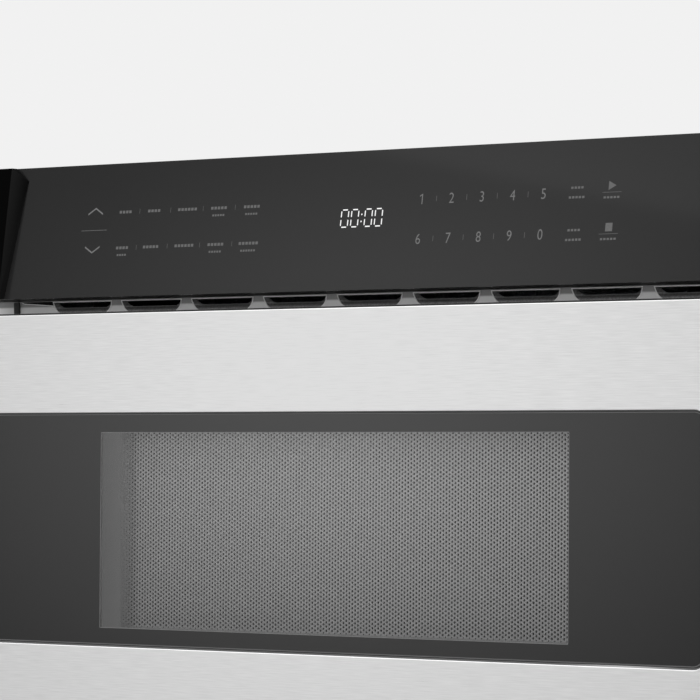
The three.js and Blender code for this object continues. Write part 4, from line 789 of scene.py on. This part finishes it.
# ---- Control panel ----
# Black glass that leans back over the drawer, in a black housing, with a moulded cap over each end. The
# figures are printed on the glass; the clock's figures glow. Plain marks stand for the words.
PANEL_LEAN = math.radians(8)
PANEL_FOOT = 33.2
INK_LIFT = 0.02
INK_THICKNESS = 0.03
PRINTED_HEIGHT = 6.0
PRINTED_WIDTH_SHARE = 0.92
FIGURE_X = (56.7, 78.5, 100.3, 122.1, 143.8)
FIGURE_ROWS = ((19.0, "12345"), (-4.3, "67890"))
WORD_X = (-171.5, -148.4, -121.7, -96.8, -71.1)
WORD_ROWS = ((18.9, (4, 4, 6, 5, 5), (3, 4)), (-3.2, (4, 5, 6, 5, 6), (0, 3, 4)))
ARROWS_X = -196
SIDE_WORDS_X = 167
START_STOP_X = 191
SEGMENT = 0.68
SEGMENT_GAP = 0.74
SEGMENT_TIP = 0.18
CLOCK_FIGURE = (5.9, 10.9)
CLOCK_LEAN = 0.015
CLOCK_X = (-12.6, -5.07, 5.07, 12.6)
CLOCK_PLACE = (13.5, 9.34)
COLON_RADIUS = 0.48
COLON_HEIGHTS = (-2.1, 2.1)
DOT_SIDES = 12


def paint_light_by_facing(material, way):
    """Paints light and shade by facing: gives the light tone to the faces turned a certain way, and the
    dark tone to the rest.
    """
    tree = material.node_tree
    turned_to = tree.nodes["Texture Coordinate"].outputs["Normal"]
    share = shader_node(tree, "VectorMath", {0: turned_to, 1: way}, operation="DOT_PRODUCT")
    limit = shader_node(tree, "MapRange", {
        "Value": share.outputs["Value"],
        "From Min": 0.1,
        "From Max": 0.2,
    })
    tree.links.new(limit.outputs["Result"], tree.nodes["Color Ramp"].inputs["Fac"])


# The panel glass has a painted sheen: its light tone lies in a broad pool near the middle and fades to the
# dark tone outwards.
panel_glass = finish("panel_glass", tint(49), tint(30), 0.05, 12, spread=0.01, Specular_IOR_Level=0.08,
                     painted_light_at=((0.045, -0.28, 0.30), (0.4, 0.4, 0.19), 0))
housing_plastic = finish("housing_plastic", tint(5), tint(3), 0.6, 1400, 0.02, Specular_IOR_Level=0.1)
ink = finish("printed_ink", tint(101), tint(96), 0.7, 900, Specular_IOR_Level=0.1)
faint_ink = finish("faint_printed_ink", tint(90), tint(85), 0.7, 900, Specular_IOR_Level=0.1)
glowing = finish("glowing_figures", tint(60), tint(50), 0.5, 900, Specular_IOR_Level=0.1,
                 Emission_Color=tint(236), Emission_Strength=1.15)
dress("control_panel_glass", panel_glass, 0.4)
dress("control_panel_housing", housing_plastic, 0.6)
for side, inwards in (("left", 1), ("right", -1)):
    # Painted light and shade on the caps: their faces turned inwards get the light tone, and the rest the
    # dark tone.
    cap_plastic_lit_by_facing = finish(side + "_cap_plastic_lit_by_facing", tint(23), tint(6), 0.65, 1500, 0.02, Specular_IOR_Level=0)
    paint_light_by_facing(cap_plastic_lit_by_facing, (inwards, 0, 0))
    dress(side + "_end_cap", cap_plastic_lit_by_facing, 0.5)
_, glass_y, glass_z = span("control_panel_glass")


def on_panel(shape, x, t):
    """Lays a flat shape on the panel's glass, x to the right and t up the slope."""
    slope = Vector((0, math.sin(PANEL_LEAN), math.cos(PANEL_LEAN)))
    out = Vector((0, -math.cos(PANEL_LEAN), math.sin(PANEL_LEAN)))
    foot = Vector((x, glass_y[0], glass_z[0])) + slope * (PANEL_FOOT + t)
    return [tuple(foot + Vector((u, 0, 0)) + slope * v + out * w) for u, v, w in shape[0]], shape[1]


def thin(outline):
    """A printed form, a hair thick."""
    return loft([[(u, v, level) for u, v in outline] for level in (INK_LIFT - INK_THICKNESS, INK_LIFT)])


def bar(half_width, half_height):
    """A printed rectangle, centred on the origin."""
    return thin([(-half_width, -half_height), (half_width, -half_height),
                 (half_width, half_height), (-half_width, half_height)])


def figure(text):
    """A printed figure, centred on the origin."""
    curve = bpy.data.curves.new("figure", "FONT")
    curve.body = text
    curve.size = PRINTED_HEIGHT / 0.7
    curve.offset = -0.006 * PRINTED_HEIGHT
    curve.extrude = INK_THICKNESS / 2
    curve.resolution_u = 6
    points, faces = shape_of(in_scene("figure", curve), 1)
    low_u, high_u = min(p[0] for p in points), max(p[0] for p in points)
    low_v, high_v = min(p[1] for p in points), max(p[1] for p in points)
    fit = PRINTED_HEIGHT / (high_v - low_v)
    return [((u - (low_u + high_u) / 2) * fit * PRINTED_WIDTH_SHARE, (v - (low_v + high_v) / 2) * fit,
             w + INK_LIFT - INK_THICKNESS / 2) for u, v, w in points], faces


def dashes(count, width, gap, height):
    """A row of plain dashes, centred on the origin."""
    whole = count * width + (count - 1) * gap
    made = []
    for i in range(count):
        start = i * (width + gap) - whole / 2
        made.append(thin([(start, -height / 2), (start + width, -height / 2),
                          (start + width, height / 2), (start, height / 2)]))
    return together(*made)


def chevron(way):
    """An open arrow head that points up or down."""
    return thin([(-6, -1.9 * way), (0, 1.7 * way), (6, -1.9 * way), (6, -0.9 * way), (0, 2.7 * way),
                 (-6, -0.9 * way)][::way])


def separators(places, half_width, half_height, t):
    """A short upright line half way between each two neighbours in a row."""
    line = bar(half_width, half_height)
    return [(line, (first + second) / 2, t) for first, second in zip(places, places[1:])]


one_with_flag = thin([(0.2, -3), (0.85, -3), (0.85, 3), (0.35, 3), (-1.35, 2.0), (-1.35, 1.25), (0.2, 2.15)])
clear_marks, faint_marks = [], []
for t, digits in FIGURE_ROWS:
    for x, digit in zip(FIGURE_X, digits):
        clear_marks.append((one_with_flag if digit == "1" else figure(digit), x, t))
    faint_marks += separators(FIGURE_X, 0.14, 1.6, t)
for mark, t in ((chevron(1), 19.6), (chevron(-1), -3.4), (bar(10.5, 0.12), 8.2)):
    clear_marks.append((mark, ARROWS_X, t))
for t, counts, with_second_line in WORD_ROWS:
    for number, (x, count) in enumerate(zip(WORD_X, counts)):
        faint_marks.append((dashes(count, 1.9, 0.7, 1.7), x, t))
        if number in with_second_line:
            faint_marks.append((dashes(count, 1.4, 0.6, 1.2), x, t - 4.4))
    faint_marks += separators(WORD_X, 0.12, 1.5, t)
for t in (21.7, -2.5):
    faint_marks.append((dashes(4, 1.6, 0.7, 1.3), SIDE_WORDS_X, t))
    faint_marks.append((dashes(5, 1.6, 0.7, 1.3), SIDE_WORDS_X, t - 5.5))
start_mark = thin([(-2.4, -2.6), (2.8, 0), (-2.4, 2.6)])
stop_mark = thin([(-2.4, -2.4), (2.4, -2.4), (2.4, 2.4), (-2.4, 2.4)])
for t, mark in ((22.1, start_mark), (-1.5, stop_mark)):
    faint_marks.append((mark, START_STOP_X, t))
    faint_marks.append((bar(6.5, 0.12), START_STOP_X, t - 3.8))
    faint_marks.append((dashes(5, 1.6, 0.7, 1.2), START_STOP_X, t - 6.7))
clear_shapes = together(*[on_panel(*mark) for mark in clear_marks])
faint_shapes = together(*[on_panel(*mark) for mark in faint_marks])
piece("panel_printed_marks", clear_shapes, ink, "cabinet")
piece("panel_faint_marks", faint_shapes, faint_ink, "cabinet")


def segment(start, end):
    """One lit bar of a clock figure, pointed at both ends."""
    start, end = Vector(start), Vector(end)
    along = (end - start).normalized()
    side = Vector((-along.y, along.x))
    side *= SEGMENT / 2
    near, far = start + along * SEGMENT_GAP, end - along * SEGMENT_GAP
    tip = along * SEGMENT_TIP
    ends = [near, near + tip + side, far - tip + side, far, far - tip - side, near + tip - side]
    return thin([(p.x + CLOCK_LEAN * p.y, p.y) for p in ends])


def clock_zero(x):
    w, h = ((size - SEGMENT) / 2 for size in CLOCK_FIGURE)
    ends = [((-w, -h), (w, -h)), ((-w, h), (w, h)), ((-w, -h), (-w, 0)), ((-w, 0), (-w, h)),
            ((w, -h), (w, 0)), ((w, 0), (w, h))]
    return moved(together(*[segment(a, b) for a, b in ends]), x)


turns = [corner * math.tau / DOT_SIDES for corner in range(DOT_SIDES)]
dot = thin([(COLON_RADIUS * math.cos(turn), COLON_RADIUS * math.sin(turn)) for turn in turns])
colon = [moved(dot, CLOCK_LEAN * v, v) for v in COLON_HEIGHTS]
clock = together(*[clock_zero(x) for x in CLOCK_X], *colon)
piece("clock_figures", on_panel(clock, *CLOCK_PLACE), glowing, "cabinet")


# ---- Drive: motor, shaft, gears and racks ----
# A gear motor on a folded bracket turns the cross shaft through a pinion. A pinion at each end of the shaft
# runs under a rack on each drawer arm.
gear_plastic = finish("gear_plastic", tint(224, 220, 206), tint(214, 210, 196), 0.42, 700, 0.01)
shaft_steel = finish("shaft_steel", tint(190, 191, 193), tint(170, 171, 173), 0.28, (30, 900, 900), 0.01,
                     0.95)
motor_metal = finish("motor_metal", tint(150, 152, 156), tint(130, 132, 136), 0.35, (600, 40, 600), 0.01, 0.8)
dress("drive_shaft", shaft_steel, 0.15)
dress("drive_motor", motor_metal, 0.6)
dress("drive_motor_bracket", zinc, 0.3)
dress("motor_pinion", gear_plastic, 0.15)
for side in ("left", "right"):
    dress(side + "_pinion", gear_plastic, 0.15)
    dress(side + "_rack", gear_plastic, 0.15)
    dress(side + "_shaft_bearing", pale_plastic, 0.5)


# ---- Slides ----
# Three-part full-extension slides of bright rolled steel. The outer rail is fixed to the case, the middle one
# runs in it on ball cages, and the inner one is screwed to the drawer's arm.
for side in ("left", "right"):
    for part in ("outer", "middle", "inner"):
        dress("%s_slide_%s_rail" % (side, part), bright_zinc, 0.3)


# ---- Drawer box, tray, seal, arms and hooks ----
# The cooking box is a pressed, enamelled tray of thin steel with round corners and a rolled top edge. A pale
# glass-ceramic plate lies in it. Folded arms join the front to the slides, and hooks work the interlocks.
BOX_CORNER = 14
BOX_FILLET = 7
BOX_LEDGE = 22
BOX_PLATE = 1.0
BOX_TURNS = (0.33, 0.66, 1)
BOX_LEDGE_CORNER = 30
BOX_RIM = ((0.3, 3.4), (0.0, 2.8), (0.0, 1.0), (0.4, 0.3), (1.2, 0), (2.0, 0.3), (2.4, 1.0), (2.4, 2.6),
           (1.3, 3.4))
box_x, box_y, box_z = span("drawer_box")
tunnel_x, tunnel_y, tunnel_z = span("inner_window")
seal_plastic = finish("seal_plastic", tint(30), tint(24), 0.6, 1200, 0.03, Specular_IOR_Level=0.3)
ceramic = finish("tray_ceramic", tint(226, 224, 217), tint(214, 212, 206), 0.22, 2600, 0.005)


def box_loop(inset, z, corner=BOX_CORNER):
    return round_loop("z", z, box_x, box_y, -inset, max(corner - inset, 2), 8)


box_loops = [box_loop(0.3 + BOX_FILLET, box_z[0])]
for share in BOX_TURNS:
    turn = share * math.pi / 2
    box_loops.append(box_loop(0.3 + BOX_FILLET * (1 - math.sin(turn)),
                              box_z[0] + BOX_FILLET * (1 - math.cos(turn))))
box_loops += [box_loop(inset, box_z[1] - drop) for inset, drop in BOX_RIM]
inner_fillet = BOX_FILLET - BOX_PLATE
for share in reversed(BOX_TURNS):
    turn = share * math.pi / 2
    box_loops.append(box_loop(1.3 + inner_fillet * (1 - math.sin(turn)),
                              box_z[0] + BOX_PLATE + inner_fillet * (1 - math.cos(turn))))
box_loops.append(box_loop(0.3 + BOX_FILLET, box_z[0] + BOX_PLATE))
box_loops += [box_loop(BOX_LEDGE, box_z[0] + level, BOX_LEDGE_CORNER) for level in (BOX_PLATE, 0)]
view_hole = slab("y", (tunnel_x[0] + 3, tunnel_x[1] - 3), (tunnel_z[0] + 3, box_z[1] - 8),
                 (box_y[0] - 1, box_y[0] + 4), 4, 0.1)
box = hollowed(loft(box_loops, "ring"), view_hole)
piece("cooking_box", box, enamel, "drawer", ["drawer_box"])
plate = slab("z", *span("ceramic_tray"), BOX_CORNER - 3, 1.2, 8)
piece("ceramic_plate", plate, ceramic, "drawer", ["ceramic_tray"])
dress("drawer_seal", seal_plastic, 0.6)
for side in ("left", "right"):
    dress(side + "_drawer_arm", zinc, 0.3)
    dress(side + "_latch_hook", bright_zinc, 0.3)


# ---- Inner frame, inner window and screen ----
# A black moulded frame holds a painted steel screen and a smoked inner window in a tunnel. The screen's
# six-sided holes get smaller towards its edges and end in a plain border. The screen and its border have a
# painted glow, and the screen has painted shade at its sides and foot.
HOLE_PITCH = 2.48
HOLE_COLUMN = 2.1477
HOLE_RADIUS = 0.84
HALF_COLUMNS = 82
FULL_HOLES_TO = 165
FADE_PER_MM = 0.075
HOLE_ROWS = 49
HOLES_FROM = 119.62
FULL_ROWS = (122.9, 238.7)
FADE_PER_ROW_MM = 0.45
SMALLEST_HOLE = 0.15
# Painted shade on the screen by height: darker towards its foot, with the full tone at its top.
SCREEN_SHADE_TONES = ((121.2, 0.27), (121.9, 0.51), (231, 0.77), (236, 0.86), (240, 1))
smoked_glass = finish("smoked_inner_glass", tint(8), tint(6), 0.05, 10, spread=0.01, Alpha=0.55,
                      Specular_IOR_Level=0.1)
# The screen paint has a painted glow, which evens out the shade in the tunnel, and painted shadow at its
# sides: the light tone within about 160 mm of the middle and the dark tone beyond 168 mm.
screen_paint_painted_light = finish("screen_paint_painted_light", tint(158), tint(117), 0.5, 800, 0.01, Emission_Color=tint(76),
                      Emission_Strength=1, painted_light_at=((0, -0.275, 0.18), (0.168, 5, 5), 0.955))
# The plain border is dark paint with a painted glow, an even painted light over the tunnel's shade.
border_paint_painted_glow = finish("screen_border_paint", tint(48), tint(46), 0.6, 800, 0.01, Emission_Color=tint(99),
                      Emission_Strength=1)
paint_shade_by_height(screen_paint_painted_light, SCREEN_SHADE_TONES)
dress("drawer_inner_frame", black_plastic, 0.6)
dress("inner_window", smoked_glass, 0.2)

_, screen_y, screen_z = span("perforated_screen")


def perforated(side):
    """Half of a thin sheet, full of six-sided holes that get smaller near its ends, and its outline."""
    columns, rows = HALF_COLUMNS, HOLE_ROWS
    shifted = side > 0
    points, faces = [], []
    for level in screen_y:
        for column in range(columns):
            x = side * (column + 0.5) * HOLE_COLUMN
            widest = HOLE_RADIUS * min(1, 1 - (abs(x) - FULL_HOLES_TO) * FADE_PER_MM)
            for row in range(rows):
                z = HOLES_FROM + (row + 0.5 + 0.5 * ((column + shifted) % 2)) * HOLE_PITCH
                beyond = max(FULL_ROWS[0] - z, z - FULL_ROWS[1], 0)
                radius = widest * max(SMALLEST_HOLE, 1 - beyond * FADE_PER_ROW_MM)
                for corner in range(6):
                    angle = corner * math.pi / 3
                    points.append((x + side * radius * math.cos(angle), level, z + radius * math.sin(angle)))

    def at(layer, column, row, corner):
        return ((layer * columns + column) * rows + row) * 6 + corner % 6

    for layer, column, row in itertools.product(range(2), range(columns), range(rows)):
        up = (column + shifted) % 2
        down = up - 1
        above = row + 1 < rows
        upper = column + 1 < columns and row + up < rows
        lower = column + 1 < columns and row + down >= 0
        for wanted, corners in (
            (above, ((0, 0, 1), (0, 0, 2), (0, 1, 4), (0, 1, 5))),
            (upper, ((0, 0, 0), (0, 0, 1), (1, up, 3), (1, up, 4))),
            (lower, ((0, 0, 5), (0, 0, 0), (1, down, 2), (1, down, 3))),
            (upper and lower, ((0, 0, 0), (1, up, 4), (1, down, 2))),
            (above and upper, ((0, 0, 1), (0, 1, 5), (1, up, 3))),
        ):
            if wanted:
                faces.append(tuple(at(layer, column + c, row + r, corner) for c, r, corner in corners))
    for column, row, corner in itertools.product(range(columns), range(rows), range(6)):
        faces.append((at(0, column, row, corner), at(0, column, row, corner + 1),
                      at(1, column, row, corner + 1), at(1, column, row, corner)))
    half = len(points) // 2
    sheet = loose_mesh(points, faces)
    neighbours = {}
    for edge in sheet.edges:
        if len(edge.link_faces) == 1 and edge.verts[0].index < half:
            for first, second in (edge.verts, reversed(edge.verts)):
                neighbours.setdefault(first.index, []).append(second.index)
    sheet.free()
    loop, previous, current = [], None, min(neighbours)
    while current not in loop[:1]:
        loop.append(current)
        previous, current = current, [i for i in neighbours[current] if i != previous][0]
    for a, b in zip(loop, loop[1:] + loop[:1]):
        faces.append((a, b, b + half, a + half))
    return (points, faces), [(points[i][0], points[i][2]) for i in loop]


middle_edges = []
fields = {"left": perforated(-1), "right": perforated(1)}
for field, edge in fields.values():
    near = [abs(x) < HOLE_COLUMN / 2 for x, z in edge]
    first = next(i for i in range(len(edge)) if near[i] and not near[i - 1])
    turned_edge = edge[first:] + edge[:first]
    middle_edges.append(sorted(turned_edge[:sum(near)], key=lambda point: point[1]))
    edge[:] = turned_edge[sum(near):]
middle_foot, middle_head = (sum(edge[end][1] for edge in middle_edges) / 2 for end in (0, -1))
for (name, (field, edge)), end in zip(fields.items(), tunnel_x):
    if edge[0][1] > edge[-1][1]:
        edge.reverse()
    border = cut_sheet([[(0, middle_foot), *edge, (0, middle_head), (0, screen_z[1]), (end, screen_z[1]),
                         (end, screen_z[0]), (0, screen_z[0])]], screen_y)
    piece("window_screen_" + name, field, screen_paint_painted_light, "drawer", ["perforated_screen"])
    piece("window_screen_border_" + name, border, border_paint_painted_glow, "drawer")
middle_strip = cut_sheet([middle_edges[0] + middle_edges[1][::-1]], screen_y)
piece("window_screen_middle", middle_strip, screen_paint_painted_light, "drawer")


# ---- Door glass ----
# Toughened glass with ground edges, printed black but for its window, which has a fine line round it. Behind
# it, a pale lining covers the walls of the tunnel.
PANE_CORNER = 6.9
WINDOW_X = (-175.3, 174.5)
WINDOW_Z = (121.3, 239.1)
PRINT_FLARE = 8
GROUND_EDGE = 0.26
GROUND_DEPTH = 0.1
HAIRLINE = 0.35
LINING_GAP = 0.2
# The black print has a painted sheen: its light tone lies in a broad pool over the middle and fades to the
# dark tone outwards.
door_glass = finish("printed_black_glass_painted_sheen", tint(60), tint(10), 0.05, 10, spread=0.01, Specular_IOR_Level=0.18,
                    painted_light_at=((0, -0.29, 0.28), (0.55, 0.5, 0.34), 0))
# The ground edge is grey glass with painted light and shade by facing: its faces turned down get the light
# tone, and the rest the dark tone.
ground_glass = finish("ground_glass_edge_shaded_by_facing", tint(84), tint(38), 0.3, 10, spread=0.02, Specular_IOR_Level=0.15)
paint_light_by_facing(ground_glass, (0, 0, -1))
print_edge = finish("window_print_edge", tint(98), tint(92), 0.5, 300)
# The window glass is a grey veil of painted sheen: its light tone lies over the middle and fades to near
# black towards its ends.
clear_glass_painted_sheen = finish("window_glass", tint(115), tint(8), 0.04, 10, spread=0.01, Alpha=0.16,
                     Specular_IOR_Level=0.5, painted_light_at=((0.005, -0.294, 0.25), (0.27, 1, 0.17), 0))
lining_paint = finish("tunnel_lining", tint(190), tint(180), 0.6, 700, 0.02, Specular_IOR_Level=0.2)
pane_x, (pane_front, pane_back), pane_z = span("drawer_glass")


def window_loop(grow, y):
    return round_loop("y", y, WINDOW_X, WINDOW_Z, grow, 0.6)


def pane_loop(inset, y):
    return round_loop("y", y, pane_x, pane_z, -inset, PANE_CORNER - inset)


def tunnel_loop(grow, y):
    return round_loop("y", y, tunnel_x, tunnel_z, grow, 0.3, 2)


printed_glass = loft([window_loop(0, pane_front), pane_loop(GROUND_EDGE, pane_front),
                      pane_loop(GROUND_EDGE, pane_back), window_loop(PRINT_FLARE, pane_back),
                      window_loop(0.6, pane_front + 0.6)], "ring")
piece("door_glass_black_print", printed_glass, door_glass, "drawer", ["drawer_glass"])
ground_rim = loft([pane_loop(GROUND_EDGE, pane_front), pane_loop(0, pane_front + GROUND_DEPTH),
                   pane_loop(0, pane_back - 0.5), pane_loop(0.5, pane_back),
                   pane_loop(GROUND_EDGE, pane_back)], "ring")
piece("door_glass_ground_edge", ground_rim, ground_glass, "drawer")
hairline = loft([window_loop(-HAIRLINE, pane_front), window_loop(0, pane_front),
                 window_loop(0, pane_front + 0.3), window_loop(-HAIRLINE, pane_front + 0.3)], "ring")
piece("door_glass_window_edge", hairline, print_edge, "drawer")
window = loft([window_loop(-HAIRLINE, pane_front), window_loop(-HAIRLINE, pane_front + 0.4)])
piece("door_glass_window", window, clear_glass_painted_sheen, "drawer")
lining_ends = (pane_back + LINING_GAP, tunnel_y[0] - LINING_GAP)
lining = loft([tunnel_loop(0.02, lining_ends[0]), tunnel_loop(0.27, lining_ends[0]),
               tunnel_loop(0.27, lining_ends[1]), tunnel_loop(0.02, lining_ends[1])], "ring")
piece("window_tunnel_lining", lining, lining_paint, "drawer")


# ---- Steel front, gasket and bumper ----
# A skin of brushed steel, folded over the drawer front's edges, with a rounded lip at its opening. A rubber
# gasket fills the gap round the glass, and a plastic strip on the top edge meets the case.
SKIN_BEND = 0.5
FLAT_FROM = 0.4
SKIN_SHEET = 1.2
LIP_PROFILE = ((2.0, 0), (1.6, 0), (1.35, 0.07), (1.16, 0.25), (1.1, 0.5))
LIP_BAND = ((1.1, 0.5), (0.05, 1.0), (0, 1.2), (0, 4.4))
OPENING_X = (-265.6, 265.6)
OPENING_Z = (111.1, 249.9)
OPENING_CORNER = 7.3
BUMPER_HALF = 299
# The brushed grain is the steel's own; a painted sheen puts its light tone in a broad pool over the drawer
# front's middle, fading outwards.
steel = finish("brushed_steel_painted_sheen", tint(222), tint(185), 0.3, (60, 1800, 1800), 0.004, 1.0, spread=0.05,
               painted_light_at=((0, -0.295, 0.26), (0.7, 0.6, 0.5), 0), ripple=0.85, Anisotropic=0.6,
               Anisotropic_Rotation=0.25)
# The lip is a darker copy of the steel, painted shade, with a painted glint near the right of the opening's
# foot.
shaded_steel_with_glint = finish("steel_inside_lip_shade_and_glint", tint(140), tint(80), 0.45, (60, 1800, 1800), 0.004, 1.0,
                      painted_light_at=((0.212, -0.294, 0.111), (0.045, 1, 0.1), 0))
gasket_rubber = finish("gasket_rubber", tint(84), tint(80), 0.7, 900)
skin_x, (skin_front, skin_back), skin_z = span("drawer_front_skin")


def skin_loop(inset, y, corner=2.0):
    return round_loop("y", y, skin_x, skin_z, -inset, max(corner - inset, 0.3), 8)


def opening_loop(grow, depth):
    return round_loop("y", skin_front + depth, OPENING_X, OPENING_Z, grow, OPENING_CORNER + grow, 8)


skin_loops = [skin_loop(0, skin_back), skin_loop(0, skin_front + SKIN_BEND + FLAT_FROM)]
for step in range(6):
    turn = step / 5 * math.pi / 2
    skin_loops.append(skin_loop(SKIN_BEND * (1 - math.cos(turn)),
                                skin_front + SKIN_BEND * (1 - math.sin(turn))))
skin_loops.append(skin_loop(SKIN_BEND + FLAT_FROM, skin_front))
skin_loops += [opening_loop(grow, depth) for grow, depth in LIP_PROFILE]
skin_loops.append(opening_loop(LIP_PROFILE[-1][0], SKIN_SHEET))
skin_loops += [skin_loop(SKIN_SHEET, y, 2.5) for y in (skin_front + SKIN_SHEET, skin_back)]
skin = loft(skin_loops, "ring")
piece("steel_front_skin", skin, steel, "drawer", ["drawer_front_skin"])
lip_loops = [opening_loop(grow, depth) for grow, depth in LIP_BAND]
lip_loops.append(opening_loop(SKIN_SHEET, LIP_BAND[-1][1]))
piece("steel_opening_lip", loft(lip_loops, "ring"), shaded_steel_with_glint, "drawer")
gasket = loft([pane_loop(-0.05, pane_front + 0.12), pane_loop(-0.38, pane_front + 0.12),
               pane_loop(-0.38, pane_back), pane_loop(-0.05, pane_back)], "ring")
piece("door_glass_gasket", gasket, gasket_rubber, "drawer")
top_bumper = slab("z", (-BUMPER_HALF, BUMPER_HALF), (skin_front + 2.6, skin_front + 5.6),
                  (skin_z[1], skin_z[1] + 1.0), 1.0, 0.3)
piece("drawer_top_bumper", top_bumper, seal_plastic, "drawer")
